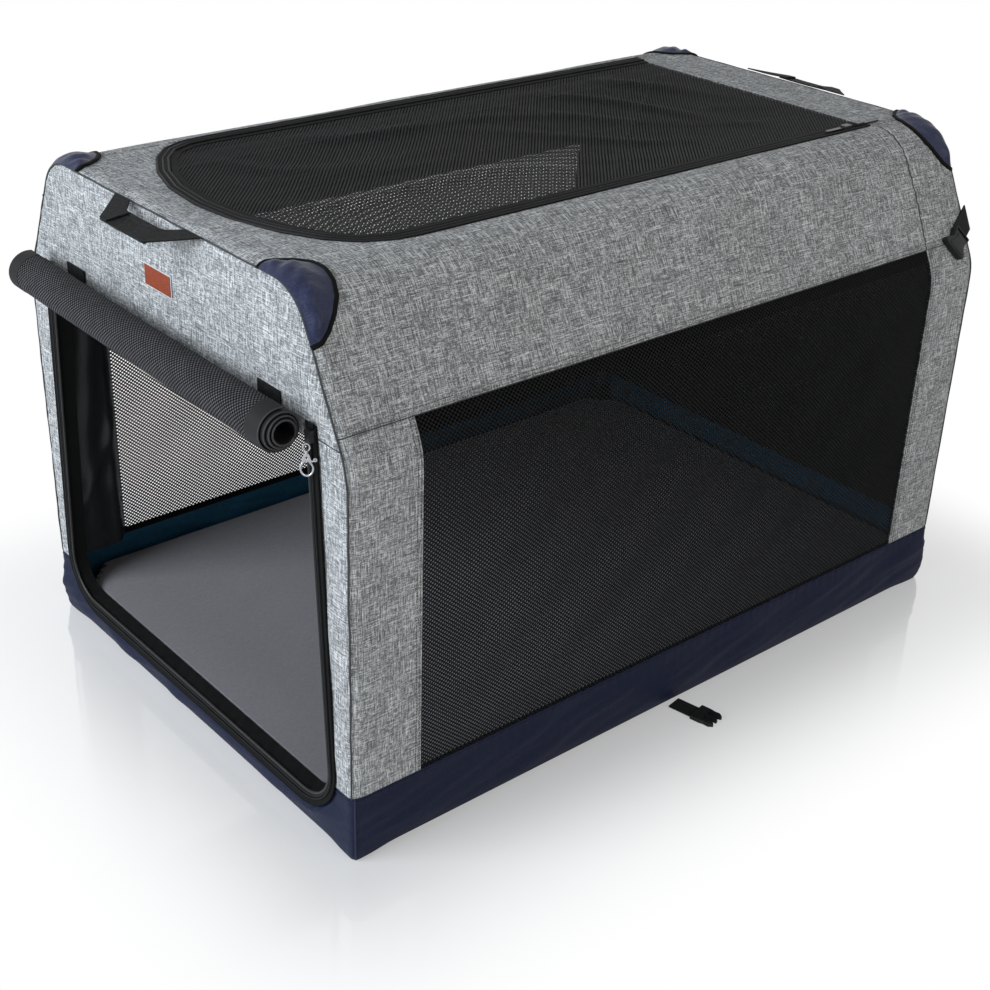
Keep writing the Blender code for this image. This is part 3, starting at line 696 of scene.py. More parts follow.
@dataclass(frozen=True)
class Crate:
    """The cloth box's driving sizes."""

    half_width: float
    half_length: float
    height: float
    band_top: float
    kink_z: float = 0.4345
    seam_z: float = 0.4645
    shoulder_x: float = 0.230
    shoulder_radius: float = 0.055
    kink_radius: float = 0.080
    roof_x: float = 0.1945
    cloth: float = 0.0024
    squash_keep: float = 0.0318

    @classmethod
    def from_frame(cls) -> "Crate":
        """Reads the box's sizes from the frame's own nodes."""
        band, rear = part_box("base_cover"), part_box("rear_wall")
        return cls(band[1].x, band[1].y, rear[1].z, band[1].z)

    @property
    def lean(self) -> float:
        """How far the side walls lean in above their kink, in radians."""
        return math.atan2(self.half_width - self.shoulder_x, self.height - self.kink_z)

    def outline(self, low: float, inset: float = 0.0) -> Array:
        """The right-hand outline, as (x, z), from a height up to the middle of the roof.

        Args:
            low: The height.
            inset: How far inside the cloth it runs.

        Returns:
            The outline's points.
        """
        across, down = math.cos(self.lean), math.sin(self.lean)
        kink_z = self.kink_z - inset * (1 - across) / down
        shoulder_x = self.shoulder_x - inset * (1 - down) / across
        wall, roof = self.half_width - inset, self.height - inset
        corners = [(wall, low), (wall, kink_z), (shoulder_x, roof), (0.0, roof)]
        return rounded_path(corners, (self.kink_radius - inset, self.shoulder_radius - inset))

    def part_of_outline(self, low: float, high: float, flat_x: float = 0.0) -> Array:
        """The outline's stretch between two heights, or up to a place on the flat roof.

        Args:
            low: The lower height.
            high: The upper height.
            flat_x: The place on the roof.

        Returns:
            The stretch's points.
        """
        path = self.outline(self.band_top)
        run = lengths_along(path)
        rising = np.interp(low, path[:, 1], run)
        if high < self.height:
            top = np.interp(high, path[:, 1], run)
        else:
            top = np.interp(-flat_x, -path[:, 0][run > 0.4], run[run > 0.4])
        places = np.concatenate(([rising], run[(run > rising) & (run < top)], [top]))
        return at_places(path, run, places)


@dataclass(frozen=True)
class Doorway:
    """The front door opening, which narrows upwards and has round lower corners."""

    half_low: float = 0.2565
    half_top: float = 0.2385
    bottom: float = 0.049
    top: float = 0.450
    corner: float = 0.046
    lip_low: float = 0.010
    lip_top: float = 0.006
    lip_drop: float = 0.004
    tape_edge: float = 0.022
    wall_share: float = 0.3
    points: int = 420

    def edge(self, out: float, top: float) -> Array:
        """A line outside the opening's edge, as (x, z), from top left down and up to top right.

        Args:
            out: How far outside.
            top: The height of its ends.

        Returns:
            The line's points.
        """
        half, corner_z = self.half_low + out, self.bottom + self.corner
        lean = (self.half_low - self.half_top) / (self.top - corner_z)
        radius = self.corner + out
        turn = np.linspace(0.0, -math.pi / 2, 13)
        arc = (half - radius + radius * np.cos(turn), corner_z + radius * np.sin(turn))
        head = np.array([[half - lean * (top - corner_z), top]])
        right = np.concatenate([head, np.stack(arc, axis=1)])
        return np.concatenate([right * MIRROR, right[::-1]])

    def line(self, share: float, top: float) -> Array:
        """A line between the lip that is seen and the zip tape's outer edge, as (x, z).

        Args:
            share: 0 at the lip and 1 at the edge.
            top: The height of its ends.

        Returns:
            Its points.
        """
        sizes = {"half_low": self.half_low + self.lip_low, "half_top": self.half_top + self.lip_top}
        lip = replace(self, bottom=self.bottom - self.lip_drop, **sizes).edge(0.0, top)
        return lip * (1 - share) + self.edge(self.tape_edge, top) * share

    def strip(self, shares: Sequence[float], top: float) -> tuple[Array, list[Array]]:
        """Lines at several shares, as a grid and one by one."""
        lines = [resampled(self.line(float(share), top), self.points) for share in shares]
        return np.stack(lines, axis=1), lines


# Meshes


def make_mesh(
    name: str,
    points: Array,
    faces: Sequence[Sequence[int]],
    materials: Sequence[Material],
    uv: Array | None = None,
    slots: Sequence[int] | None = None,
) -> Object:
    """Makes a mesh object from points and faces, with its normals outwards and smooth shading.

    Args:
        name: The object's name.
        points: Its points, one row each.
        faces: Point numbers of each face.
        materials: Its materials.
        uv: A flat cloth position for each point, in metres.
        slots: The material slot of each face.

    Returns:
        The object, linked to the scene.
    """
    mesh = bpy.data.meshes.new(name)
    mesh.from_pydata([tuple(p) for p in points], [], [tuple(f) for f in faces])
    if uv is None:
        uv = points[:, :2]
    layer = mesh.uv_layers.new(name="cloth")
    corner_points = np.zeros(len(mesh.loops), np.int32)
    mesh.loops.foreach_get("vertex_index", corner_points)
    layer.data.foreach_set("uv", np.asarray(uv, np.float32)[corner_points].ravel())
    if slots is not None:
        mesh.polygons.foreach_set("material_index", np.asarray(slots, np.int32))
    work = bmesh.new()
    work.from_mesh(mesh)
    bmesh.ops.recalc_face_normals(work, faces=work.faces)
    work.to_mesh(mesh)
    work.free()
    return finished(name, mesh, materials, 40)


def finished(
    name: str, mesh: Mesh, materials: Sequence[Material], sharp_degrees: float
) -> Object:
    """Shades a mesh smooth up to an edge angle and links it to the scene as an object.

    Args:
        name: The object's name.
        mesh: Its mesh.
        materials: Its materials.
        sharp_degrees: The angle from which edges stay sharp.

    Returns:
        The object.
    """
    mesh.shade_smooth()
    mesh.set_sharp_from_angle(angle=math.radians(sharp_degrees))
    obj = bpy.data.objects.new(name, mesh)
    bpy.context.scene.collection.objects.link(obj)
    for material in materials:
        mesh.materials.append(material)
    return obj


def grid(*parts: Array) -> Array:
    """Stacks coordinates, each given by row, by column or by both, into a grid of points."""
    return np.stack(np.broadcast_arrays(*parts), axis=2)


def grid_normals(face: Array, outward: Sequence[float]) -> Array:
    """Unit normals of a grid of points, on the side that the outward direction is on.

    Args:
        face: The grid.
        outward: The direction.

    Returns:
        The normals, shaped like the grid.
    """
    normal = unit(np.cross(np.gradient(face, axis=0), np.gradient(face, axis=1)))
    if float((normal.mean(axis=(0, 1)) * np.array(outward)).sum()) < 0:
        normal = -normal
    return normal


def grid_faces(rows: int, columns: int, start: int, wrap: bool) -> list[tuple[int, ...]]:
    """The quads of a grid whose points are numbered row by row.

    Args:
        rows: The grid's rows.
        columns: Its columns.
        start: The first point's number.
        wrap: Whether the last row joins the first.

    Returns:
        Point numbers of each quad.
    """
    faces = []
    for i in range(rows if wrap else rows - 1):
        here, below = start + i * columns, start + (i + 1) % rows * columns
        faces += [(here + j, here + j + 1, below + j + 1, below + j) for j in range(columns - 1)]
    return faces


def tube_faces(
    rings: int, sides: int, start: int = 0, closed: bool = False
) -> list[tuple[int, ...]]:
    """The quads round a row of rings of points, with both ends filled unless it is a loop.

    Args:
        rings: How many rings.
        sides: Points in each.
        start: The first point's number.
        closed: Whether it is a loop.

    Returns:
        Point numbers of each face.
    """
    faces = []
    for i in range(rings if closed else rings - 1):
        low, high = start + i * sides, start + (i + 1) % rings * sides
        for k in range(sides):
            after = (k + 1) % sides
            faces.append((low + k, low + after, high + after, high + k))
    if not closed:
        faces += [tuple(start + i * sides + k for k in range(sides)) for i in (0, rings - 1)]
    return faces


def flat_area(uv: Array) -> float:
    """The area of a grid of flat cloth positions.

    Args:
        uv: The positions, rows by columns by 2.

    Returns:
        The area in square metres.
    """
    one = uv[1:, 1:] - uv[:-1, :-1]
    other = uv[1:, :-1] - uv[:-1, 1:]
    return float(np.abs(one[..., 0] * other[..., 1] - one[..., 1] * other[..., 0]).sum() / 2)


def closed_sheet(
    name: str,
    face: Array,
    back: Array,
    uv: Array,
    materials: Sequence[Material],
    wrap: bool = False,
) -> Object:
    """Makes a closed sheet of cloth from its two sides.

    Args:
        name: The piece's name.
        face: The outer surface, rows by columns by 3.
        back: The inner surface.
        uv: Flat cloth positions, rows by columns by 2.
        materials: The outer material, and the lining if there is one.
        wrap: Whether the last row joins the first.

    Returns:
        The piece.
    """
    rows, columns = face.shape[:2]
    count = rows * columns
    outer, inner = (grid_faces(rows, columns, start, wrap) for start in (0, count))
    edges = [[i * columns + j for i in range(rows)] for j in (0, columns - 1)]
    if wrap:
        edges = [edge + edge[:1] for edge in edges]
    else:
        edges += [[i * columns + j for j in range(columns)] for i in (0, rows - 1)]
    rims = [(a, b, b + count, a + count) for edge in edges for a, b in zip(edge, edge[1:])]
    slots = [0] * len(outer) + [len(materials) - 1] * len(inner) + [0] * len(rims)
    points = np.concatenate([face.reshape(-1, 3), back.reshape(-1, 3)])
    flat = np.concatenate([uv.reshape(-1, 2)] * 2)
    return make_mesh(name, points, outer + inner + rims, materials, flat, slots)


def round_section(radius: float, sides: int = 10) -> list[Point]:
    """A round section for a sweep."""
    turns = [2 * math.pi * k / sides for k in range(sides)]
    return [(radius * math.cos(t), radius * math.sin(t)) for t in turns]


def tape_section(width: float, thickness: float, edge: float = 0.3) -> list[Point]:
    """A flat tape's section with eased edges, lying on its path.

    Args:
        width: The tape's width.
        thickness: Its thickness.
        edge: The eased share of the thickness.

    Returns:
        The section's points.
    """
    half, ease = width / 2, thickness * edge
    right = [(half, 0.0), (half, thickness - ease), (half - ease, thickness)]
    return [(-half, 0.0)] + right + [(-half + ease, thickness), (-half, thickness - ease)]


def plate(
    name: str,
    loops: Sequence[Sequence[Point]],
    span: Point,
    place: Matrix,
    material: Material,
    ease: float,
) -> Object:
    """Makes a flat plate with eased edges from its outline and holes.

    Args:
        name: The piece's name.
        loops: The outline, then any holes, as (x, y).
        span: The heights of its lower and upper face.
        place: Where the plate's own frame goes.
        material: Its material.
        ease: The width of its eased edges.

    Returns:
        The piece.
    """
    curve = bpy.data.curves.new(name, "CURVE")
    curve.dimensions = "2D"
    curve.fill_mode = "BOTH"
    curve.extrude = (span[1] - span[0]) / 2 - ease
    curve.bevel_depth = ease
    curve.bevel_resolution = 2
    curve.offset = -ease
    for loop in loops:
        spline = curve.splines.new("POLY")
        spline.points.add(len(loop) - 1)
        for point, (x, y) in zip(spline.points, loop):
            point.co = (x, y, 0.0, 1.0)
        spline.use_cyclic_u = True
    outline = bpy.data.objects.new(name + "_outline", curve)
    bpy.context.scene.collection.objects.link(outline)
    evaluated = outline.evaluated_get(bpy.context.evaluated_depsgraph_get())
    mesh = bpy.data.meshes.new_from_object(evaluated)
    bpy.data.objects.remove(outline)
    work = bmesh.new()
    work.from_mesh(mesh)
    bmesh.ops.remove_doubles(work, verts=work.verts, dist=1e-6)
    bmesh.ops.recalc_face_normals(work, faces=work.faces)
    layer = work.loops.layers.uv.get("cloth") or work.loops.layers.uv.new("cloth")
    for face in work.faces:
        for corner in face.loops:
            corner[layer].uv = corner.vert.co.xy
    work.to_mesh(mesh)
    work.free()
    mesh.materials.clear()
    obj = finished(name, mesh, [material], 35)
    obj.matrix_world = place @ Matrix.Translation((0, 0, (span[0] + span[1]) / 2))
    return obj


def pinned(value: Array, ease: float = 0.12) -> Array:
    """0 at both ends of a 0 to 1 range and 1 inside it, with soft ramps."""
    near = np.clip(np.minimum(value, 1 - value) / ease, 0, 1)
    return near * near * (3 - 2 * near)


def spaced(start: float, end: float, count: int, near: float = 0.010) -> Array:
    """Rising places between two ends, crowded together close to both."""
    fine = near * np.array([0.12, 0.28, 0.45, 0.7, 1.0])
    return np.unique(np.concatenate([np.linspace(start, end, count), start + fine, end - fine]))


def drawn_in(distance: Array, depth: float = 0.0022, reach: float = 0.007) -> Array:
    """How far cloth rounds inwards at a distance from a sewn edge."""
    return depth * np.clip(1 - distance / reach, 0, 1) ** 2


@dataclass(frozen=True)
class Ripple:
    """A soft unevenness: a few crossing waves with fixed random directions."""

    depth: float
    wave: float
    seed: int
    count: int = 6

    def __call__(self, u: Array, v: Array) -> Array:
        """The height at flat positions u and v, in metres.

        Args:
            u: Places one way.
            v: Places the other way.

        Returns:
            The height at each place.
        """
        draw = np.random.RandomState(self.seed)
        total = np.zeros_like(u + v)
        for _ in range(self.count):
            turn = draw.uniform(0, math.pi)
            length = self.wave * draw.uniform(0.6, 1.8)
            phase = draw.uniform(0, 2 * math.pi)
            total += np.sin(
                2 * math.pi * (u * math.cos(turn) + v * math.sin(turn)) / length + phase
            )
        return self.depth * total / math.sqrt(self.count)


def pucker(distance: Array, run: Array, depth: float, seed: int) -> Array:
    """Small gathers beside a seam: waves along it that die out away from it.

    Args:
        distance: How far each point is from the seam.
        run: Its place along the seam.
        depth: The height of the waves.
        seed: The seed of their random lengths.

    Returns:
        The height at each point.
    """
    draw = np.random.RandomState(seed)
    total = np.zeros_like(run)
    for _ in range(5):
        length = draw.uniform(0.007, 0.020)
        total += np.sin(2 * math.pi * run / length + draw.uniform(0, 6.28))
    return depth * total / 2.2 * np.exp(-distance / 0.010)


def kink_wrinkles(u: Array, v: Array) -> Array:
    """Small level creases where the walls lean in, below and above their seam.

    Args:
        u: Places along the wall.
        v: Their heights.

    Returns:
        The height of the creases there.
    """
    near = np.exp(-(((v - 0.444) / 0.019) ** 2))
    wave = np.sin(2 * math.pi * (v + 0.22 * u) / 0.0105 + 9 * Ripple(1.0, 0.10, 131)(u, v))
    patchy = 0.45 + 0.55 * np.clip(Ripple(1.0, 0.05, 137)(u, v * 0.5), -0.6, 1.0)
    return 0.0013 * wave * patchy * near


# Sub-assemblies


@dataclass
class Assembly:
    """What every sub-assembly has: the crate's sizes, its materials and ways to make a piece."""

    crate: Crate
    palette: Palette

    def sheet(
        self,
        name: str,
        face: Array,
        uv: Array,
        outward: Sequence[float],
        thickness: float,
        *finishes: str,
        wrap: bool = False,
    ) -> Object:
        """Makes a closed sheet of cloth behind a grid of points.

        Args:
            name: The piece's name.
            face: The outer surface, rows by columns by 3.
            uv: Flat cloth positions, rows by columns by 2.
            outward: A direction on the sheet's outer side.
            thickness: The sheet's thickness.
            finishes: The outer finish, and the lining's if there is one.
            wrap: Whether the last row joins the first.

        Returns:
            The piece.
        """
        back = face - grid_normals(face, outward) * thickness
        return closed_sheet(name, face, back, uv, [self.palette[f] for f in finishes], wrap)

    def grey_sheet(
        self, name: str, face: Array, uv: Array, outward: Sequence[float], wrap: bool = False
    ) -> Object:
        """A sheet of the walls' cloth, grey outside and with black lining inside."""
        finishes = ("grey_melange_cloth", "black_lining")
        return self.sheet(name, face, uv, outward, self.crate.cloth, *finishes, wrap=wrap)

    def sweep(
        self,
        name: str,
        path: Array,
        up: Array | Sequence[float],
        section: Sequence[Point],
        finish: str,
        closed: bool = False,
    ) -> Object:
        """Sweeps a flat section along a path, as a closed solid.

        Args:
            name: The piece's name.
            path: Points in space.
            up: The section's up direction, in all or at each point.
            section: The section's points, as (sideways, up).
            finish: Its finish.
            closed: Whether the path is a loop.

        Returns:
            The piece.
        """
        normals = np.broadcast_to(up, path.shape)
        across = unit(np.cross(unit(np.gradient(path, axis=0)), normals))
        shape = np.array(section, float)
        points = (
            path[:, None, :]
            + across[:, None, :] * shape[None, :, 0, None]
            + normals[:, None, :] * shape[None, :, 1, None]
        )
        girth = lengths_along(np.concatenate([shape, shape[:1]]))[:-1]
        uv = grid(girth[None, :], lengths_along(path)[:, None])
        faces = tube_faces(len(path), len(shape), closed=closed)
        material = self.palette[finish]
        return make_mesh(name, points.reshape(-1, 3), faces, [material], uv.reshape(-1, 2))

    def stitches(
        self,
        name: str,
        path: Array,
        up: Array | Sequence[float],
        finish: str,
        pitch: float = 0.0034,
        thread: float = 0.0004,
    ) -> Object:
        """Makes a row of separate stitches along a path.

        Args:
            name: The piece's name.
            path: Points on the cloth.
            up: The cloth's normal, in all or at each point.
            finish: The thread's finish.
            pitch: The length of a stitch and the gap after it.
            thread: The thread's radius.

        Returns:
            The row, as one piece.
        """
        run = lengths_along(path)
        count = max(2, int(run[-1] / pitch))
        middles = (np.arange(count) + 0.5) * run[-1] / count
        centre = at_places(path, run, middles)
        normal = unit(at_places(np.broadcast_to(up, path.shape), run, middles))
        step = 1e-4
        tangent = unit(at_places(path, run, middles + step) - at_places(path, run, middles - step))
        across = np.cross(tangent, normal)
        sides, half, body = 5, pitch * 0.36, 0.6
        tip, full = (0.35, -0.6), (1.0, 0.3)
        rings = [(-half, *tip), (-half * body, *full), (half * body, *full), (half, *tip)]
        points, faces = [], []
        for s in range(count):
            faces += tube_faces(len(rings), sides, len(points))
            for along, girth, lift in rings:
                for k in range(sides):
                    turn = 2 * math.pi * k / sides
                    points.append(
                        centre[s]
                        + tangent[s] * along
                        + across[s] * thread * girth * math.cos(turn)
                        + normal[s] * thread * (girth * math.sin(turn) + lift)
                    )
        return make_mesh(name, np.array(points), faces, [self.palette[finish]])

    def settle(
        self,
        piece: Object,
        body: str,
        slot: str | None = None,
        stands_for: Sequence[str] = (),
    ) -> Object:
        """Puts a finished piece on its body.

        Args:
            piece: The piece.
            body: The body that it rides on.
            slot: The record's material slot; not used.
            stands_for: The frame's nodes that it replaces.

        Returns:
            The piece.
        """
        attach(piece, body)
        if stands_for:
            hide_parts(*stands_for)
        LOG.info("%s on %s", piece.name, body)
        return piece

    def settle_all(
        self, pieces: Sequence[Object], body: str, slot: str, stands_for: str
    ) -> None:
        """Puts pieces on one body, with the first of them in place of a frame's node."""
        for i, piece in enumerate(pieces):
            self.settle(piece, body, slot, [stands_for] if i == 0 else [])

    def settle_on_wall(
        self,
        piece: Object,
        slot: str | None = None,
        stands_for: Sequence[str] = (),
    ) -> Object:
        """Puts a piece of the cloth walls on the base body, with its own copy of its mesh.

        Args:
            piece: The piece.
            slot: Its material slot; not used.
            stands_for: The nodes that it replaces.

        Returns:
            The piece.
        """
        self.settle(piece, "base", slot, stands_for)
        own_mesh(piece)
        return piece

    def cut_flat(
        self,
        piece: Object,
        uv: Array,
        rests_on: Sequence[str],
        held: str = "stretched",
        trims: Sequence[Object] = (),
    ) -> None:
        """Works out the flat width, length and area of a piece's cloth, and keeps none of them.

        Args:
            piece: The piece; not used.
            uv: Its flat cloth positions, rows by columns by 2, in metres.
            rests_on: The frame's nodes that hold it; not used.
            held: How it is held; not used.
            trims: The pieces sewn onto it; not used.
        """
        width, length = np.ptp(uv.reshape(-1, 2), axis=0)
        area = flat_area(uv)
        if area < 0.3 * width * length:
            length = float(lengths_along(uv.mean(axis=1))[-1])
            width = area / length


@dataclass(frozen=True)
class SideGrid:
    """A grid on a side's outline, with outward normals and flat cloth positions."""

    points: Array
    normals: Array
    uv: Array

    @property
    def u(self) -> Array:
        """Places along the crate."""
        return self.uv[..., 0]

    @property
    def v(self) -> Array:
        """Places up the outline."""
        return self.uv[..., 1]

    @property
    def share_u(self) -> Array:
        """Places along the crate as 0 to 1."""
        return (self.u - self.u[0, 0]) / np.ptp(self.u)

    @property
    def share_v(self) -> Array:
        """Places up the outline as 0 to 1."""
        return (self.v - self.v[0, 0]) / np.ptp(self.v)

    def pushed(self, push: Array) -> Array:
        """The points moved outwards."""
        return self.points + self.normals * push[..., None]

    def column_at(self, y: float) -> int:
        """The number of the column nearest to a place along the crate."""
        return int(np.argmin(np.abs(self.u[0] - y)))


@dataclass
class ClothBox(Assembly):
    """The grey cloth of both end walls and of the sides' columns and uppers."""

    doorway: Doorway
    window_front: float = -0.372
    window_rear: float = 0.374
    sag: float = 0.0012
    inset: float = 0.0036
    end_gap: float = 0.0015
    roof_split: float = 0.515
    front_seam: tuple[float, float, float] = (0.2385, 0.2935, 0.4535)
    handle_zone: Point = (0.12, 0.53)
    column_rows: Point = (0.0025, 0.0065)
    upper_rows: Point = (0.0022, 0.0067)

    def build(self) -> None:
        """Builds every grey panel with its seams."""
        self.front_wall()
        self.rear_wall()
        reach = self.crate.half_length - self.end_gap
        for side in Side:
            self.column(side, End.FRONT, (-reach, self.window_front))
            self.column(side, End.REAR, (self.window_rear, reach))
            self.upper(side, (-reach, reach))
        self.edge_piping()

    def front_wall(self) -> None:
        """The wall round the doorway, from the left foot over the top to the right foot."""
        low, top, y = self.crate.band_top, self.doorway.top, -self.crate.half_length
        edge = self.doorway.line(self.doorway.wall_share, top)
        half = edge[len(edge) // 2 :]
        foot = [[np.interp(low, half[:, 1], half[:, 0]), low]]
        outline = self.crate.outline(low, self.inset)
        run = lengths_along(outline)
        split = np.interp(self.roof_split, outline[:, 1], run)
        corner = at_places(outline, run, [split])
        jamb = np.vstack([foot, half[half[:, 1] > low]])
        head = np.array([[half[-1, 0], top], [0.0, top]])
        wall = np.vstack([outline[run < split], corner])
        roof = np.vstack([corner, outline[run >= split]])
        inner, outer = (
            mirrored(np.vstack([resampled(rising, 56), resampled(level, 46)[1:]]))
            for rising, level in ((jamb, head), (wall, roof))
        )
        across = spaced(0.0, 1.0, 24, 0.12)
        along = np.linspace(0, 1, len(inner))[:, None]
        flat = between(inner, outer, across)
        u, v = flat[..., 0], flat[..., 1]
        hold = pinned(across, 0.3) * pinned(along, 0.03)
        bulge = Ripple(self.sag, 0.16, 5)(u, v) * hold
        away = np.linalg.norm(flat - outer[:, None, :], axis=2)
        gathers = pucker(away, lengths_along(outer)[:, None], 0.0005, 8)
        bulge += gathers * pinned(along, 0.02) - drawn_in(away)
        bulge += kink_wrinkles(np.abs(u), v) * np.clip((np.abs(u) - 0.24) / 0.02, 0, 1)
        bulge = self.clear_of_handle(bulge, u, v)
        face = grid(u, y - bulge - 0.0004 * hold, v)
        cloth = self.grey_sheet("front_wall_cloth", face, flat, AHEAD)
        self.settle_on_wall(cloth, "grey_melange", ["front_wall"])
        frame = ["upper_hoop_front", "lower_leg_front_left", "lower_leg_front_right"]
        self.cut_flat(cloth, flat, frame)
        near, far, seam_z = self.front_seam
        for side in Side:
            seam = np.column_stack([side.value * np.linspace(near, far, 20), np.full(20, seam_z)])
            self.seam_line(f"front_seam_{side.word}", in_plane(seam, y - 0.0003), AHEAD)

    def clear_of_handle(self, bulge: Array, u: Array, v: Array) -> Array:
        """Keeps an end wall's cloth from swelling where its handle hangs against it.

        Args:
            bulge: How far the cloth swells.
            u: Places across the crate.
            v: Their heights.

        Returns:
            The swelling that is left.
        """
        half, low = self.handle_zone
        zone = np.clip((half - np.abs(u)) / 0.02, 0, 1) * np.clip((v - low) / 0.01, 0, 1)
        return bulge * (1 - zone) + (np.minimum(bulge, 0) - 0.0004) * zone

    def seam_line(self, name: str, line: Array, up: Array | Sequence[float]) -> None:
        """A thin dark line of thread sunk in a seam."""
        self.settle_on_wall(self.sweep(name, line, up, round_section(0.0006, 6), "edge_piping"))

    def rear_wall(self) -> None:
        """The plain rear wall."""
        low = self.crate.band_top
        half = self.crate.half_width - self.inset
        outline = self.crate.outline(low, self.inset)[::-1]
        u = spaced(-half, half, 81)
        roof = np.interp(np.abs(u), outline[:, 0], outline[:, 1])
        roof[[0, -1]] = self.crate.kink_z - 0.02
        share = spaced(0, 1, 61, 0.02)[:, None]
        v = low + (roof - low) * share
        hold = pinned(share) * pinned((u / half + 1) / 2)
        bulge = Ripple(self.sag * 1.5, 0.22, 11)(u, v) * hold
        bulge -= drawn_in(np.minimum(half - np.abs(u), roof - v))
        y = self.crate.half_length + self.clear_of_handle(bulge, u, v)
        uv = grid(u, v)
        cloth = self.grey_sheet("rear_wall_cloth", grid(u, y, v), uv, (0, 1, 0))
        self.settle_on_wall(cloth, "grey_melange", ["rear_wall"])
        self.cut_flat(cloth, uv, ["upper_hoop_rear", "lower_leg_rear_left", "lower_leg_rear_right"])

    def side_grid(self, side: Side, path: Array, span: Point, counts: tuple[int, int]) -> SideGrid:
        """A grid on the side's outline between two places along the crate.

        Args:
            side: Which side.
            path: The outline's stretch, as (x, z).
            span: The grid's front and rear ends.
            counts: Points up the outline and along the crate.

        Returns:
            The grid.
        """
        spine = resampled(path, counts[0])
        y = spaced(*span, counts[1])
        if span[0] < 0 < span[1]:
            near_seam = self.window_rear + np.array([-3, -1.5, -0.6, 0, 0.6, 1.5, 3]) * 0.001
            y = np.unique(np.concatenate([y, near_seam[near_seam < span[1]]]))
        points = grid(side.value * spine[:, :1], y, spine[:, 1:])
        uv = grid(y, lengths_along(spine)[:, None] + spine[0, 1])
        return SideGrid(points, grid_normals(points, (side.value, 0, 0.3)), uv)

    def rounding(self, y: Array) -> Array:
        """How far a side's cloth rounds in towards the end walls."""
        return drawn_in(self.crate.half_length - self.end_gap + 0.0004 - np.abs(y), 0.0042, 0.012)

    def column(self, side: Side, end: End, span: Point) -> None:
        """One side's column at one end, with two rows of stitches beside the window.

        Args:
            side: Which side.
            end: Which end.
            span: The column's front and rear edges.
        """
        path = self.crate.part_of_outline(self.crate.band_top, self.crate.seam_z)
        cloth = self.side_grid(side, path, span, (120, 16))
        u, v, share_u, share_v = cloth.u, cloth.v, cloth.share_u, cloth.share_v
        hold = pinned(share_v) * pinned(share_u, 0.3)
        push = Ripple(self.sag * 0.7, 0.12, 17 + side.value)(u, v) * hold
        push += pucker(np.abs(u - span[0]), v, 0.0004, 21) * pinned(share_v)
        push += kink_wrinkles(u, v) * pinned(share_u, 0.2)
        face = cloth.pushed(push - self.rounding(u))
        name = f"side_column_{side.word}_{end.word}"
        panel = self.grey_sheet(name + "_cloth", face, cloth.uv, (side.value, 0, 0))
        self.settle_on_wall(panel, "grey_melange", [name])
        self.cut_flat(panel, cloth.uv, [f"lower_leg_{end.word}_{side.word}"])
        seam = span[1] if end is End.FRONT else span[0]
        for k, step in enumerate(self.column_rows):
            y = seam + end.value * step
            at = cloth.column_at(y)
            line, normals = resampled(face[:, at], 60), resampled(cloth.normals[:, at], 60)
            line[:, 1] = y
            row = self.stitches(
                f"{name}_stitches_{k}", line + normals * STITCH_LIFT, normals, "grey_thread"
            )
            self.settle_on_wall(row)

    def upper(self, side: Side, span: Point) -> None:
        """One side's strip over the window, with its stitches and seams.

        Args:
            side: Which side.
            span: The strip's front and rear edges.
        """
        crate = self.crate
        path = crate.part_of_outline(crate.seam_z, crate.height, crate.roof_x)
        cloth = self.side_grid(side, path, span, (80, 150))
        u, v, normals = cloth.u, cloth.v, cloth.normals
        hold = pinned(cloth.share_v, 0.3) * pinned(cloth.share_u, 0.06)
        push = Ripple(self.sag * 1.3, 0.17, 29 + side.value)(u, v) * hold
        seam = np.abs(u - self.window_rear)
        push -= 0.0012 * np.exp(-((seam / 0.0016) ** 2))
        push += pucker(seam, v, 0.0005, 31)
        push += kink_wrinkles(u, v) * pinned(cloth.share_u, 0.05)
        face = cloth.pushed(push + (0.0005 - self.rounding(u)))
        name = f"side_upper_{side.word}"
        panel = self.grey_sheet(name + "_cloth", face, cloth.uv, (side.value, 0, 0.3))
        self.settle_on_wall(panel, "grey_melange", [name])
        self.cut_flat(
            panel, cloth.uv, [f"top_rail_{side.word}", "upper_hoop_front", "upper_hoop_rear"]
        )
        rise = unit(face[4] - face[0])
        for k, lift in enumerate(self.upper_rows):
            up = normals[k + 1]
            line = face[0] + rise * lift + up * STITCH_LIFT
            self.settle_on_wall(self.stitches(f"{name}_stitches_{k}", line, up, "grey_thread"))
        at = cloth.column_at(self.window_rear)
        self.seam_line(f"{name}_seam", face[:, at] + normals[:, at] * 0.0003, normals[:, at])
        self.seam_line(f"{name}_low_seam", face[0] - normals[0] * 0.0002, normals[0])

    def edge_piping(self) -> None:
        """The piped seams that join the end walls to the sides and the top."""
        for end in End:
            y = end.value * (self.crate.half_length - 0.0012)
            left = self.crate.outline(self.crate.band_top, 0.0034) * MIRROR
            path = in_plane(resampled(mirrored(left), 260), y)
            path[:, 1] += Ripple(0.0004, 0.05, 41 + end.value)(path[:, 0], path[:, 2])
            up = path - (0.0, y, self.crate.height * 0.55)
            up[:, 1] = 0.0
            section = round_section(0.0010, 8)
            piping = self.sweep(f"{end.word}_edge_piping", path, unit(up), section, "edge_piping")
            self.settle_on_wall(piping, "grey_melange")


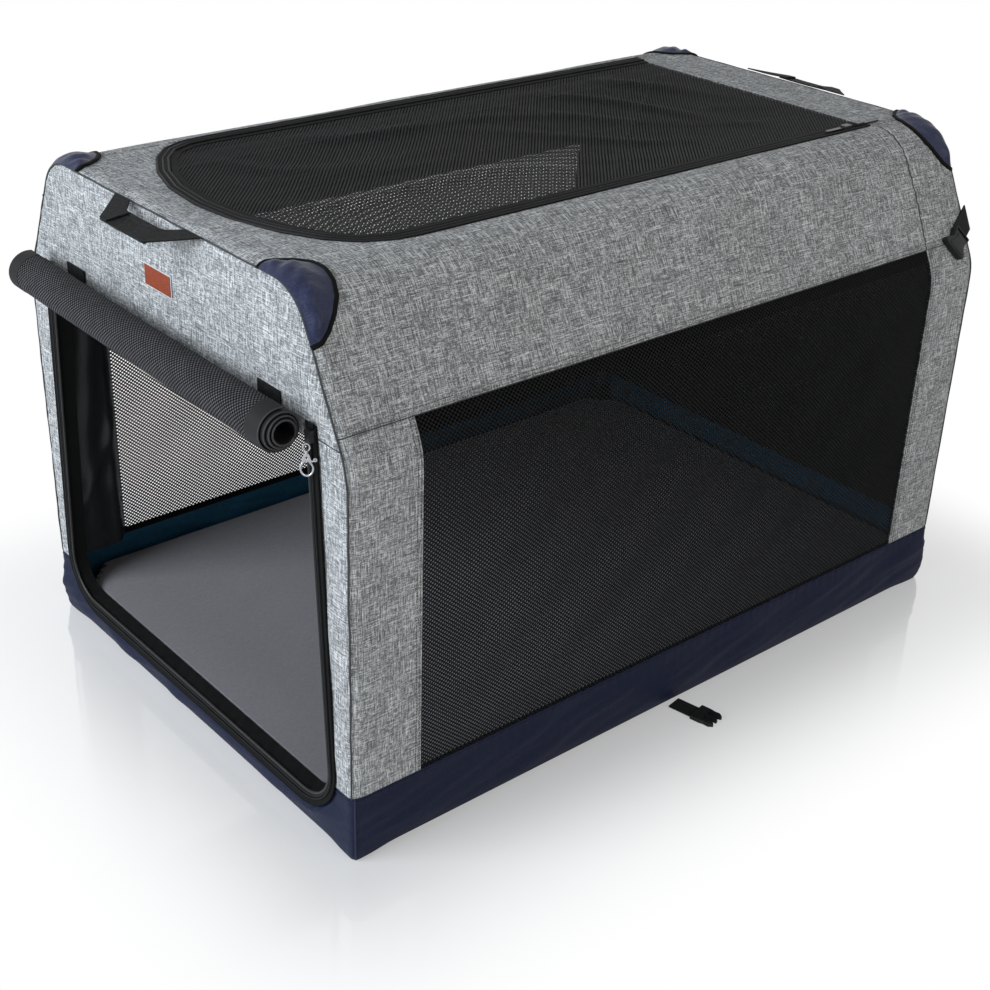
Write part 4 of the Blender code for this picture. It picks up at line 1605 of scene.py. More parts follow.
@dataclass
class Windows(Assembly):
    """The black net windows in the long sides."""

    box: ClothBox
    tape_shift: float = 0.0092

    def build(self) -> None:
        """Builds both windows with the black tape behind their edges."""
        span = (self.box.window_front, self.box.window_rear)
        path = self.crate.part_of_outline(self.crate.band_top, self.crate.seam_z)
        along = np.array([0.0, self.tape_shift, 0.0])
        down = np.array([0.0, 0.0, -self.tape_shift])
        for side in Side:
            cloth = self.box.side_grid(side, path, span, (48, 90))
            normals = cloth.normals
            hold = pinned(cloth.share_v, 0.25) * pinned(cloth.share_u, 0.15)
            slant = (cloth.u * 0.8 - cloth.v) / 0.11
            waves = 0.0016 * np.sin(slant * 2 * math.pi) + Ripple(0.0010, 0.2, 51)(cloth.u, cloth.v)
            face = cloth.pushed(waves * hold - 0.0008)
            name = f"side_window_{side.word}"
            outward = (side.value, 0, 0)
            net = self.sheet(
                name + "_net", face, cloth.uv, outward, NET_THICKNESS, "see_through_net"
            )
            self.settle_on_wall(net, "black_mesh", [name])
            inset = cloth.points - normals * 0.0030
            up = unit(cloth.points[-1] - cloth.points[-2]) * self.tape_shift
            edges = {
                "front": (inset[:, 0] - along, normals[:, 0], 0.022),
                "rear": (inset[:, -1] + along, normals[:, -1], 0.022),
                "top": (inset[-1] - up * 0.2, normals[-1], 0.026),
                "bottom": (inset[0] + down * 0.25, normals[0], 0.008),
            }
            trims = []
            for place, (line, normal, width) in edges.items():
                binding = f"window_binding_{side.word}_{place}"
                tape = self.sweep(binding, line, -normal, tape_section(width, 0.0012), "zip_tape")
                trims.append(self.settle_on_wall(tape))
            frame = ["upper_hoop_front", "upper_hoop_rear", f"base_tube_{side.word}"]
            self.cut_flat(net, cloth.uv, frame, trims=trims)


@dataclass
class Lining(Assembly):
    """Loose glossy lining inside the front columns, over the frame's legs."""

    span: Point = (-0.4518, -0.3700)
    height: float = 0.424

    def build(self) -> None:
        """Builds both linings with upright folds and a slanting crease."""
        y = np.linspace(*self.span, 46)
        z = np.linspace(self.crate.band_top + 0.0008, self.height, 90)[:, None]
        share = (y - self.span[0]) / (self.span[1] - self.span[0])
        rise = (z - z[0]) / (z[-1] - z[0])
        out = np.clip((share - 0.72) / 0.28, 0, 1) ** 1.5
        hold = pinned(share, 0.15) * pinned(0.04 + 0.92 * rise, 0.1)
        folds = 0.0016 * np.sin(2 * math.pi * (share * 2.6 + 0.25 * np.sin(rise * 5)))
        crease = (share * 0.055 * 2.4 - (rise - 0.10) * 0.30) / 0.016
        folds += 0.0030 * np.exp(-(crease**2)) + Ripple(0.0006, 0.05, 151)(y, z)
        x = 0.2745 + 0.0255 * out - folds * hold
        uv = grid(y, z)
        for side in Side:
            face = grid(side.value * x, y, z)
            name, inward = f"column_lining_{side.word}", (-side.value, 0, 0)
            lining = self.sheet(name, face, uv, inward, 0.0008, "black_lining")
            self.settle_on_wall(lining)
            self.cut_flat(lining, uv, [f"lower_leg_front_{side.word}"], "hung")


@dataclass
class CornerPatches(Assembly):
    """The navy patches over the top corners, padded and bound with black tape."""

    plan: tuple[Point, ...] = (
        (0.169, 0.0), (0.169, 0.005), (0.172, 0.016), (0.182, 0.031), (0.195, 0.0405),
        (0.210, 0.0440), (0.224, 0.0425), (0.2360, 0.0375), (0.2440, 0.0290), (0.2500, 0.0185),
        (0.2535, 0.0090), (0.2545, 0.0),
    )
    puff: float = 0.0032

    def surface(self, x: Array) -> tuple[Array, Array]:
        """The outline's height and outward normal at places across the crate.

        Args:
            x: The places.

        Returns:
            The heights and the normals, as (x, z).
        """
        rising = self.crate.outline(self.crate.band_top)[::-1].T
        step = 0.001
        slope = (np.interp(x + step, *rising) - np.interp(x - step, *rising)) / (2 * step)
        return np.interp(x, *rising), unit(np.stack([-slope, np.ones_like(slope)], axis=-1))

    def girth(self, x: Array) -> Array:
        """The cloth's running length round the shoulder at places across the crate.

        Args:
            x: The places.

        Returns:
            The lengths.
        """
        places = np.linspace(self.plan[0][0], self.plan[-1][0], 80)
        heights = self.surface(places)[0]
        return np.interp(x, places, lengths_along(np.stack([places, heights], axis=1)))

    def build(self) -> None:
        """Builds the four patches and their bindings."""
        count = 97
        edge = resampled(np.array(self.plan), count)
        seam_x = np.linspace(self.plan[0][0], self.plan[-1][0], count)[:, None]
        along = np.linspace(0, 1, count)[:, None]
        share = np.linspace(0, 1, 27)
        x = seam_x * (1 - share) + edge[:, :1] * share
        depth = edge[:, 1:] * share
        z, normal = self.surface(x)
        swell = pinned(share, 0.45) * pinned(along, 0.2)
        folds = 0.34 * np.sin(along * 36 + 3.5 * share) * np.exp(-share * 1.3)
        folds += Ripple(0.30, 0.022, 141)(x, depth)
        lift = 0.0018 + self.puff * swell * (1 + folds) - drawn_in(depth, 0.0045, 0.012)
        out_x, out_z = x + normal[..., 0] * lift, z + normal[..., 1] * lift
        girth = self.girth(x)
        for side in Side:
            up = in_plane(normal[:, -1] * (side.value, 1), 0.0)
            for end in End:
                y = end.value * (self.crate.half_length - 0.0008 - depth)
                face, uv = grid(side.value * out_x, y, out_z), grid(side.value * girth, y)
                name, outward = f"corner_patch_{end.word}_{side.word}", (side.value, 0, 1)
                patch = self.sheet(name + "_cloth", face, uv, outward, 0.0008, "navy_patch_cloth")
                self.settle_on_wall(patch, "navy_cloth", [name])
                self.cut_flat(patch, uv, [f"upper_hoop_{end.word}"])
                line, section = face[:, -1] - up * 0.0014, tape_section(0.0050, 0.0024, 0.5)
                binding = self.sweep(name + "_binding", line, up, section, "zip_tape")
                self.settle_on_wall(binding, "black_webbing")


@dataclass
class Base(Assembly):
    """The navy tray with its band, and the padded mat in it."""

    doorway: Doorway
    corner: float = 0.009
    belly: float = 0.0019

    def perimeter(self) -> Array:
        """The tray's outline from above, from the middle of the rear round and back.

        Returns:
            The outline's points, as (x, y).
        """
        w, l, r = self.crate.half_width, self.crate.half_length, self.corner
        corners = [(0.0, l), (w, l), (w, -l), (-w, -l), (-w, l), (0.0, l)]
        return resampled(rounded_path(corners, (r, r, r, r)), 900)

    def door_edge(self, plan: Array, edge: Array, below: float) -> Array:
        """How high a line under the doorway is at each place round the tray.

        Args:
            plan: The tray's outline from above.
            edge: The line, as (x, z).
            below: The height under which the line counts.

        Returns:
            The heights, which are out of reach where the line isn't.
        """
        lower = edge[edge[:, 1] < below]
        level = np.interp(plan[:, 0], lower[:, 0], lower[:, 1], left=1.0, right=1.0)
        return np.where(plan[:, 1] < -self.crate.half_length + 1e-4, level, 1.0)

    def to_corner(self, plan: Array) -> Array:
        """How far each place round the tray is from the nearest corner."""
        gaps = np.array([self.crate.half_width, self.crate.half_length]) - np.abs(plan)
        return np.linalg.norm(gaps, axis=1)

    def build(self) -> None:
        """Builds the band, the floor sheet, the corner seams and the mat."""
        plan, door = self.perimeter(), self.doorway
        lip = self.door_edge(plan, door.line(door.wall_share, door.top), door.bottom + door.corner)
        top = np.minimum(self.crate.band_top, lip)[:, None]
        tape = self.door_edge(plan, door.edge(0.024, door.top), self.crate.band_top + 0.004)
        tape_low = tape[:, None] - 0.0025
        u = lengths_along(plan)[:, None]
        share = np.linspace(0, 1, 20)
        z = 0.0004 + (top - 0.0004) * share
        up = at_height(-beside(plan), 0.0)
        hold = pinned(share, 0.35)
        push = self.belly * (0.5 + Ripple(1.0, 0.11, 61)(u, z * 1.6)) * hold
        push += Ripple(0.0008, 0.030, 67)(u * 0.6 + z, z * 1.3) * hold
        push += pucker(top - z, u, 0.0005, 63)
        near = np.exp(-((self.to_corner(plan) / 0.040) ** 4))[:, None]
        tuck = (0.0062 - 0.0028 * near) * np.clip(1 - z / (0.017 - 0.006 * near), 0, 1) ** 2
        under = np.clip((z - tape_low) / 0.004, 0, 1)
        ends = pinned(np.linspace(0, 1, len(plan)), 0.004)[:, None]
        push = (push * (1 - under) - 0.0012 * under) * ends - tuck
        face = grid(plan[:, :1], plan[:, 1:], z) + up[:, None] * push[..., None]
        uv, finishes = grid(u, z), [self.palette[f] for f in ("navy_cloth", "teal_lining")]
        band = closed_sheet("base_band", face, face - up[:, None] * 0.0022, uv, finishes)
        self.settle(band, "base", "navy_cloth", ["base_cover"])
        tubes = ["base_tube_front", "base_tube_left", "base_tube_rear", "base_tube_right"]
        self.cut_flat(band, uv, tubes)
        self.floor_sheet()
        self.hem(plan, up, top[:, 0], face[:, 0])
        self.corner_seams(face, up)
        self.mat()

    def corner_seams(self, face: Array, up: Array) -> None:
        """A sewn ridge down each corner of the band.

        Args:
            face: The band's outer surface.
            up: Its outward direction all round.
        """
        for side in Side:
            for end in End:
                diagonal = np.array([side.value, end.value]) / math.sqrt(2)
                at = int(np.argmax(up[:, :2] @ diagonal))
                name, section = f"base_corner_seam_{end.word}_{side.word}", round_section(0.0009, 8)
                ridge = self.sweep(name, face[at], up[at], section, "navy_thread")
                self.settle(ridge, "base", "navy_cloth")

    def floor_sheet(self) -> None:
        """The tray's floor."""
        inset = 0.0085
        w, l = self.crate.half_width - inset, self.crate.half_length - inset
        u, v = np.linspace(-w, w, 31)[:, None], np.linspace(-l, l, 45)
        face, uv = grid(u, v, 0.0016 + Ripple(0.0003, 0.2, 71)(u, v)), grid(u, v)
        floor = self.sheet("base_floor", face, uv, UP, 0.0012, "teal_lining", "navy_cloth")
        self.settle(floor, "base", "navy_cloth")
        self.cut_flat(floor, uv, [], "laid")

    def hem(self, plan: Array, up: Array, top: Array, foot: Array) -> None:
        """The stitched hem along the band's upper edge and the bound bottom seam.

        Args:
            plan: The tray's outline from above.
            up: The band's outward direction at each of its points.
            top: The band's height there.
            foot: The band's lowest points.
        """
        first, last = np.flatnonzero(top <= self.crate.band_top - 1e-4)[[0, -1]]
        for name, span in (("right", slice(2, first)), ("left", slice(last + 1, len(plan) - 2))):
            line = at_height(plan[span], top[0] - 0.004) + up[span] * 0.0007
            row = self.stitches(f"base_hem_stitches_{name}", line, up[span], "navy_thread")
            self.settle(row, "base", "navy_cloth")
        line = at_height((foot - up * 0.0006)[1:-1, :2], 0.0019)
        piping = self.sweep(
            "base_bottom_piping", line, up[1:-1], round_section(0.0015, 8), "navy_cloth"
        )
        self.settle(piping, "base", "navy_cloth")

    def mat(self) -> None:
        """The padded mat: crowned, drawn in at its edge seam, with soft hollows."""
        low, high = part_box("floor_mat")
        half_x, half_y, cut = high.x, high.y, 0.042
        x = np.linspace(-1, 1, 62)[:, None] * half_x
        y = np.linspace(-1, 1, 92) * half_y
        past_x, past_y = np.abs(x) - (half_x - cut), np.abs(y) - (half_y - cut)
        pull = np.clip(np.clip(past_x, 0, None) + np.clip(past_y, 0, None) - cut, 0, None) / 2
        x, y = x - np.sign(x) * pull, y - np.sign(y) * pull
        to_x, to_y = half_x - np.abs(x), half_y - np.abs(y)
        edge = np.minimum(np.minimum(to_x, to_y), (to_x + to_y - cut) / math.sqrt(2))
        rise = 1 - np.clip(1 - edge / 0.008, 0, 1) ** 2.4
        middle = (low.z + high.z) / 2 - 0.002
        hollows = Ripple(0.0011, 0.24, 81)(x, y) * np.clip(edge / 0.06, 0, 1)
        upper = middle + 0.0012 + (high.z - middle - 0.003) * rise + hollows
        lower = middle - (middle - low.z) * rise
        face, back = grid(x, y, upper), grid(x, y, np.minimum(lower, upper - 0.002))
        pad = closed_sheet("floor_mat_pad", face, back, grid(x, y), [self.palette["mat_cloth"]])
        self.settle(pad, "base", "mat_cloth", ["floor_mat"])
        edges = (face[0], face[:, -1], face[-1, ::-1], face[::-1, 0])
        loop = np.concatenate([edge[:-1] for edge in edges])
        loop[:, 2] = middle
        piping = self.sweep(
            "floor_mat_piping", loop, UP, round_section(0.0018, 8), "mat_cloth", True
        )
        self.settle(piping, "base", "mat_cloth")


@dataclass
class Top(Assembly):
    """The roof: grey panel, net door, and the zip round the door's free edges."""

    edge: tuple[Point, ...] = (
        (0.1787, -0.290), (0.1765, -0.316), (0.1655, -0.340), (0.1430, -0.3605),
        (0.1050, -0.381), (0.0550, -0.3965), (0.0, -0.4015),
    )
    hinge_y: float = 0.3645
    tape_width: float = 0.0142

    def door_line(self, out: float, rear: float) -> Array:
        """A line outside the door's edge, from its rear left end round to its rear right end.

        Args:
            out: How far outside.
            rear: Where its ends are.

        Returns:
            The line's points, as (x, y).
        """
        left = np.array([(self.edge[0][0], rear), *self.edge]) * MIRROR
        path = resampled(mirrored(left), 360)
        mean = np.ones(9) / 9
        smooth = [np.convolve(np.pad(line, 4, "edge"), mean, "valid") for line in beside(path).T]
        return path + unit(np.stack(smooth, axis=1)) * out

    def build(self) -> None:
        """Builds the roof panel, the net door and the zip."""
        self.panel()
        self.door()
        self.zip()

    def panel(self) -> None:
        """The grey roof round the door."""
        w, l = self.crate.roof_x, self.crate.half_length - 0.0015
        door_x, bend_y = self.edge[0]
        rear = self.hinge_y + 0.0008
        inner = self.door_line(0.0, rear)
        run = lengths_along(inner)
        straight, half = rear - bend_y, run[-1] / 2
        keys = [0.0, straight, straight + (half - straight) * 0.42, half]
        corners = np.array([(-w, l), (-w, bend_y), (-w, -l), (0.0, -l)])
        places = [
            np.linspace(a, b, max(2, int((b - a) / 0.008)), endpoint=False)
            for a, b in zip(keys, keys[1:])
        ]
        places = np.concatenate([*places, [half]])
        rings = []
        for line, at, back in ((inner, run, (door_x, rear)), (corners, keys, (w, l))):
            closing = resampled(np.array([back, back * MIRROR]), 44)[1:-1]
            rings.append(np.concatenate([mirrored(at_places(line, at, places)), closing]))
        share = spaced(0, 1, 14, 0.12)
        flat = between(*rings, share)
        u, v = flat[..., 0], flat[..., 1]
        to_end = l - np.abs(v)
        lift = Ripple(0.0011, 0.13, 91)(u, v) * pinned(share, 0.3) - 0.0003
        lift += pucker(to_end, u, 0.0006, 93) - drawn_in(to_end, 0.0038, 0.012)
        cloth = self.grey_sheet(
            "roof_cloth", grid(u, v, self.crate.height + lift), flat, UP, wrap=True
        )
        self.settle(cloth, "top", "grey_melange", ["top_panel"])
        self.cut_flat(cloth, np.concatenate([flat, flat[:1]]), ["top_rail_left", "top_rail_right"])

    def door(self) -> None:
        """The net flap, which hangs in long shallow folds."""
        rows, columns = 130, 76
        rear = self.hinge_y - 0.0003
        line = self.door_line(-0.0015, rear)
        half = line[: len(line) // 2]
        v = np.linspace(rear, self.edge[-1][1] + 0.0016, rows)[:, None]
        half_width = np.interp(-v, -half[:, 1], -half[:, 0])
        half_width[-1] = 0.012
        across = np.linspace(-1, 1, columns)
        u = half_width * across
        hold = pinned((across + 1) / 2, 0.3) * pinned(np.linspace(0, 1, rows)[:, None], 0.15)
        folds = Ripple(0.0006, 0.2, 95)(u, v) - 0.004
        for turn, wave, depth, seed in ((0.86, 0.118, 0.0042, 97), (1.05, 0.083, 0.0027, 98)):
            place = (u * math.sin(turn) - v * math.cos(turn)) / wave
            place += 0.55 * Ripple(1.0, 0.55, seed)(u, v)
            crest = (0.5 + 0.5 * np.cos(2 * math.pi * place)) ** 5
            folds += depth * crest * np.clip(0.6 + 0.5 * Ripple(1.0, 0.3, seed + 40)(u, v), 0, 1)
        uv = grid(u, v)
        face = grid(u, v, self.crate.height - 0.0002 + folds * hold)
        net = self.sheet("top_door_net", face, uv, UP, NET_THICKNESS, "roof_net")
        self.settle(net, "top_door", "black_mesh", ["top_door"])
        path = at_height(self.door_line(-0.0045, rear), self.crate.height - 0.0008)
        binding = self.sweep("top_door_binding", path, UP, tape_section(0.0072, 0.0014), "zip_tape")
        self.settle(binding, "top_door", "black_webbing")
        self.cut_flat(net, uv, ["top_zip_tape_sewn"], trims=[binding])

    def zip(self) -> None:
        """The zip tape with its piped edges and the closed row of teeth."""
        z, rear, width = self.crate.height + 0.0003, self.hinge_y + 0.0008, self.tape_width
        cord = round_section(0.0013, 8)
        lines = (
            ("tape", width / 2, 0.0, tape_section(width, 0.0014), "zip_tape"),
            ("outer_cord", width - 0.0012, 0.0010, cord, "hem_tape"),
            ("inner_cord", 0.0014, 0.0010, cord, "hem_tape"),
        )
        pieces = []
        for name, out, lift, section, finish in lines:
            path = at_height(self.door_line(out, rear), z + lift)
            pieces.append(self.sweep(f"top_zip_{name}_sewn", path, UP, section, finish))
        path = at_height(self.door_line(width / 2, rear), z + 0.0012)
        pieces.append(
            self.stitches("top_zip_teeth", path, UP, "zip_teeth", pitch=0.0024, thread=0.0009)
        )
        self.settle_all(pieces, "top", "black_webbing", "top_zip_tape")


@dataclass
class FrontDoor(Assembly):
    """The rolled-up door, its slings, and the zip round the opening."""

    doorway: Doorway
    roll_y: float = -0.4815
    roll_z: float = 0.461
    radius: float = 0.0222
    pitch: float = 0.00325
    turns: float = 3.7
    hem: float = 0.020
    strap_x: float = 0.185
    zip_top: float = 0.466
    teeth_share: float = 0.42
    foot_z: float = 0.027
    squash_keep: float = 0.15

    def build(self) -> None:
        """Builds the roll, the slings and the zip tape."""
        self.roll()
        self.slings()
        self.zip()

    def spiral(self) -> Array:
        """The rolled cloth's line seen from the side, as (y, z), from outside in.

        Returns:
            The line's points.
        """
        turn = np.linspace(0, self.turns, int(self.turns * 44))
        radius = self.radius - self.pitch * turn
        angle = math.pi * 0.42 + 2 * math.pi * turn
        return np.stack([radius * np.cos(angle), radius * np.sin(angle) * 0.97], axis=1)

    def step_back(self, x: float) -> Array:
        """How far each turn's end lies inwards of the roll's own end, near either end.

        Args:
            x: The end's place across the crate.

        Returns:
            The distance at each of the roll's points.
        """
        turn = np.linspace(0.0, 1.0, len(self.spiral()))
        if x > 0.2:
            return 0.0105 * (1 - turn) + 0.0010 * np.sin(turn * 17)
        if x < -0.2:
            return -0.0030 * (1 - turn)
        return turn * 0.0

    def rolled(self, name: str, span: Point, thickness: float, finish: str) -> Object:
        """A stretch of the roll.

        Args:
            name: The piece's name.
            span: The stretch's left and right ends.
            thickness: The cloth's thickness.
            finish: Its finish.

        Returns:
            The piece.
        """
        line = self.spiral()
        width = span[1] - span[0]
        x = np.linspace(*span, max(4, int(width / 0.008)))
        swell = 1 + Ripple(0.006, 0.14, 101)(x, x * 0)
        droop = -0.0012 * np.cos(np.clip(x / self.strap_x, -1, 1) * math.pi / 2)
        left, right = (self.step_back(end)[:, None] for end in span)
        across = x - right * (x - span[0]) / width - left * (span[1] - x) / width
        y = self.roll_y + line[:, :1] * swell
        z = self.roll_z + line[:, 1:] * swell + droop
        face = grid(across, y, z)
        half = at_side(beside(line), 0.0)[:, None] * thickness / 2
        uv = grid(x, lengths_along(line)[:, None])
        return closed_sheet(name, face + half, face - half, uv, [self.palette[finish]])

    def roll(self) -> None:
        """The net roll with a smooth hem at each end."""
        low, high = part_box("door_roll")
        ends = {Side.LEFT: (low.x, low.x + self.hem), Side.RIGHT: (high.x - self.hem, high.x)}
        span = (ends[Side.LEFT][1] - 0.004, ends[Side.RIGHT][0] + 0.004)
        net = self.rolled("door_roll_net", span, 0.0016, "rolled_net")
        self.settle(net, "door_roll", "black_mesh", ["door_roll"])
        line = self.spiral()
        trims = []
        for side, hem_span in ends.items():
            hem = self.rolled(f"door_roll_hem_{side.word}", hem_span, 0.0023, "hem_tape")
            self.settle(hem, "door_roll", "black_webbing")
            x = min(hem_span) if side is Side.LEFT else max(hem_span)
            path = at_side(line + (self.roll_y, self.roll_z), x - self.step_back(x))
            name, section = f"door_roll_edge_{side.word}", round_section(0.0010, 6)
            bead = self.sweep(name, path, (side.value, 0.0, 0.0), section, "hem_edge")
            trims += [hem, self.settle(bead, "door_roll", "black_webbing")]

    def slings(self) -> None:
        """The webbing slings that hold the roll up."""
        back = -self.crate.half_length - 0.0009
        turn = np.linspace(-0.12, -0.52, 26) * math.pi
        bend = np.stack([np.cos(turn), np.sin(turn)], axis=1) * (self.radius + 0.0030)
        head = np.array([[back, 0.479], [back, 0.470], [back - 0.0004, 0.462]])
        flat = resampled(np.concatenate([head, bend + (self.roll_y, self.roll_z)]), 48)
        up, section = at_side(beside(flat), 0.0), tape_section(0.038, 0.0012)
        for side in Side:
            name, path = f"roll_strap_{side.word}", at_side(flat, side.value * self.strap_x)
            sling = self.sweep(name + "_webbing", path, up, section, "black_webbing")
            self.settle(sling, "door_roll", "black_webbing", [name])

    def zip(self) -> None:
        """The open zip's tape round the doorway with its teeth and its piped edges."""
        y, top = -self.crate.half_length - 0.0003, self.zip_top
        shares = np.linspace(0.04, 1.0, 7)
        flat, lines = self.doorway.strip(shares, top)
        rise = 0.0016 + 0.0005 * np.sin(shares * 9.0)
        face = grid(flat[..., 0], y - rise, flat[..., 1])
        uv = grid(lengths_along(lines[3])[:, None], shares * 0.015)
        tape = self.sheet("door_zip_tape_band", face, uv, AHEAD, 0.0016, "zip_tape")
        pieces = [tape, self.flap(top)]
        cords = (
            ("lip", 0.0, 0.0004, round_section(0.0018, 10), "glossy_cord"),
            ("inner_cord", 0.20, 0.0018, round_section(0.0008, 8), "hem_tape"),
            ("outer_cord", 0.93, 0.0012, round_section(0.0013, 8), "zip_tape"),
        )
        for name, share, lift, section, finish in cords:
            path = in_plane(resampled(self.doorway.line(share, top), self.doorway.points), y - lift)
            pieces.append(self.sweep(f"door_zip_{name}", path, AHEAD, section, finish))
        path = in_plane(
            resampled(self.doorway.line(self.teeth_share, top), self.doorway.points), y - 0.0019
        )
        pieces.append(
            self.stitches("door_zip_teeth", path, AHEAD, "zip_teeth", pitch=0.0022, thread=0.0010)
        )
        self.settle_all(pieces, "base", "black_webbing", "door_zip_tape")
        for piece in pieces:
            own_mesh(piece)

    def flap(self, top: float) -> Object:
        """The tape's loose inner edge, which lies back towards the mat.

        Args:
            top: The height of its ends.

        Returns:
            The piece.
        """
        share = np.linspace(0, 1, 8)
        flat, lines = self.doorway.strip(-0.28 * share, top)
        run, back = lengths_along(lines[0])[:, None], 0.0135 * share
        wave = Ripple(0.0005, 0.014, 161)(run, back * 0.4) * pinned(share * 0.9 + 0.02, 0.3)
        y = back + 0.0008 - self.crate.half_length
        face = grid(flat[..., 0], y, flat[..., 1] + wave)
        return self.sheet("door_zip_flap", face, grid(run, back), UP, 0.0008, "zip_tape")


@dataclass
class Fittings(Assembly):
    """The handles, the label, the front zip's clip and the rear strap's buckle."""

    strap_z: float = 0.484
    strap_degrees: float = 34.8
    clip_place: tuple[float, float, float] = (0.2550, -0.4642, 0.4500)
    clip_degrees: float = 50.0
    label_box: tuple[float, float, float, float] = (-0.033, 0.018, 0.507, 0.530)
    handle_z: float = 0.584
    handle_degrees: float = 80.0

    def build(self) -> None:
        """Builds every small fitting."""
        self.label()
        for end in End:
            self.handle(end)
        self.clip()
        self.female_buckle()

    def female_buckle(self) -> None:
        """The rear strap's buckle: a waisted shell with a raised middle, on a loop of webbing."""
        crate, name = self.crate, "female_buckle"
        lean, z = crate.lean, self.strap_z
        seam_x = crate.half_width - (z - crate.kink_z) * math.tan(lean)
        on_slope = Matrix(
            (
                (0.0, math.sin(lean), math.cos(lean), seam_x),
                (-1.0, 0.0, 0.0, crate.half_length + 0.0005),
                (0.0, -math.cos(lean), math.sin(lean), z),
                (0.0, 0.0, 0.0, 1.0),
            )
        )
        turned = on_slope @ Matrix.Rotation(math.radians(self.strap_degrees), 4, "Z")
        place = turned @ Matrix.Translation((0.0238, 0.0, 0.0016))
        shell = [
            (0.0016, 0.0128), (0.0065, 0.0126), (0.0095, 0.0112), (0.0135, 0.0104),
            (0.0175, 0.0112),
            (0.0215, 0.0148), (0.0250, 0.0174), (0.0285, 0.0172), (0.0300, 0.0140),
        ]
        rib = [
            (0.0095, 0.0072), (0.0135, 0.0062), (0.0190, 0.0078),
            (0.0240, 0.0112), (0.0280, 0.0112),
        ]
        shell, rib = (half + [(x, -y) for x, y in reversed(half)] for half in (shell, rib))
        slot = [(0.0035, 0.0105), (0.0062, 0.0105), (0.0062, -0.0105), (0.0035, -0.0105)]
        plastic = self.palette["bracket_plastic"]
        pieces = [
            plate(name + "_shell", [shell, slot], (-0.0008, 0.0082), place, plastic, 0.0014),
            plate(name + "_rib", [rib], (0.0070, 0.0091), place, plastic, 0.0007),
        ]
        self.settle_all(pieces, name, "bracket_plastic", name)
        around = np.linspace(-0.5, 0.5, 14) * math.pi
        up = in_plane(np.column_stack([np.cos(around), np.sin(around)]), 0.0)
        loop = up * (0.0022 * 0.9, 0.0, 0.0036) + (0.0030, 0.0, 0.0010)
        wrap = self.sweep(
            name + "_webbing", loop, up, tape_section(0.0200, 0.0012), "black_webbing"
        )
        wrap.matrix_world = place
        self.settle(wrap, name, "black_webbing")

    def clip(self) -> None:
        """The lobster clip that pulls the front zip: an eye, a body with a hook, and a lever."""
        name, finish = "door_zip_pull", "zip_nickel"
        turned = Matrix.Rotation(math.radians(self.clip_degrees), 4, "Z")
        place = Matrix.Translation(self.clip_place) @ turned
        turn = np.linspace(0, 2 * math.pi, 29)[:-1]

        def oval(across: float, tall: float, low: float) -> Array:
            """A closed upright oval about a height below the hinge."""
            return np.column_stack([across * np.sin(turn), 0 * turn, low + tall * np.cos(turn)])

        hook = oval(0.0058, 0.0080, -0.0240)
        hook[:, 0] *= np.where(hook[:, 2] > -0.024, 1 - 0.35 * (hook[:, 2] + 0.024) / 0.008, 1.0)
        stem = np.array([[0.0, 0.0, -0.0066], [0.0, 0.0, -0.0104]])
        lever = np.array(
            [[0.0026, 0.0, -0.0165], [0.0050, -0.0006, -0.0172], [0.0074, -0.0010, -0.0160]]
        )
        rods = (
            ("eye", oval(0.0030, 0.0036, -0.0038), round_section(0.0008, 8), True),
            ("hook", hook, round_section(0.0011, 10), True),
            ("swivel", resampled(stem, 12), round_section(0.0017, 12), False),
            ("lever", resampled(lever, 12), round_section(0.0009, 8), False),
            (
                "knob", oval(0.0011, 0.0011, -0.0160) + (0.0076, 0.0, 0.0),
                round_section(0.0011, 8), True,
            ),
        )
        pieces = [
            self.sweep(f"{name}_{part}", path, AHEAD, section, finish, closed)
            for part, path, section, closed in rods
        ]
        outline = [
            (-0.0021, -0.0098), (0.0021, -0.0098), (0.0034, -0.0128), (0.0047, -0.0180),
            (0.0026, -0.0196), (0.0012, -0.0176), (-0.0012, -0.0176), (-0.0026, -0.0196),
            (-0.0047, -0.0180), (-0.0034, -0.0128),
        ]
        rivet = [(0.0009 * math.cos(a), -0.0138 + 0.0009 * math.sin(a)) for a in turn[::-3]]
        stand, span = Matrix.Rotation(math.pi / 2, 4, "X"), (-0.0013, 0.0013)
        body = plate(name + "_body", [outline, rivet], span, stand, self.palette[finish], 0.0005)
        body.data.transform(body.matrix_world)
        pieces.append(body)
        for piece in pieces:
            piece.matrix_world = place
        self.settle_all(pieces, name, "zip_metal", name)

    def label(self) -> None:
        """The bare sewn label with its pale edge."""
        upright = Matrix.Rotation(math.pi / 2, 4, "X")
        stand = Matrix.Translation((0, -self.crate.half_length - 0.0009, 0)) @ upright
        layers = (
            ("label_edge", 0.0, (0.0, 0.0008), "pale_thread"),
            ("label_face", 0.0011, (0.0004, 0.0014), "label_cloth"),
        )
        for name, rim, span, finish in layers:
            left, right, low, high = np.array(self.label_box) + (rim, -rim, rim, -rim)
            outline = [(left, low), (right, low), (right, high), (left, high)]
            piece = plate(name, [outline], span, stand, self.palette[finish], 0.0002)
            piece.data.transform(piece.matrix_world)
            piece.matrix_world = Matrix.Identity(4)
            self.settle_on_wall(piece)

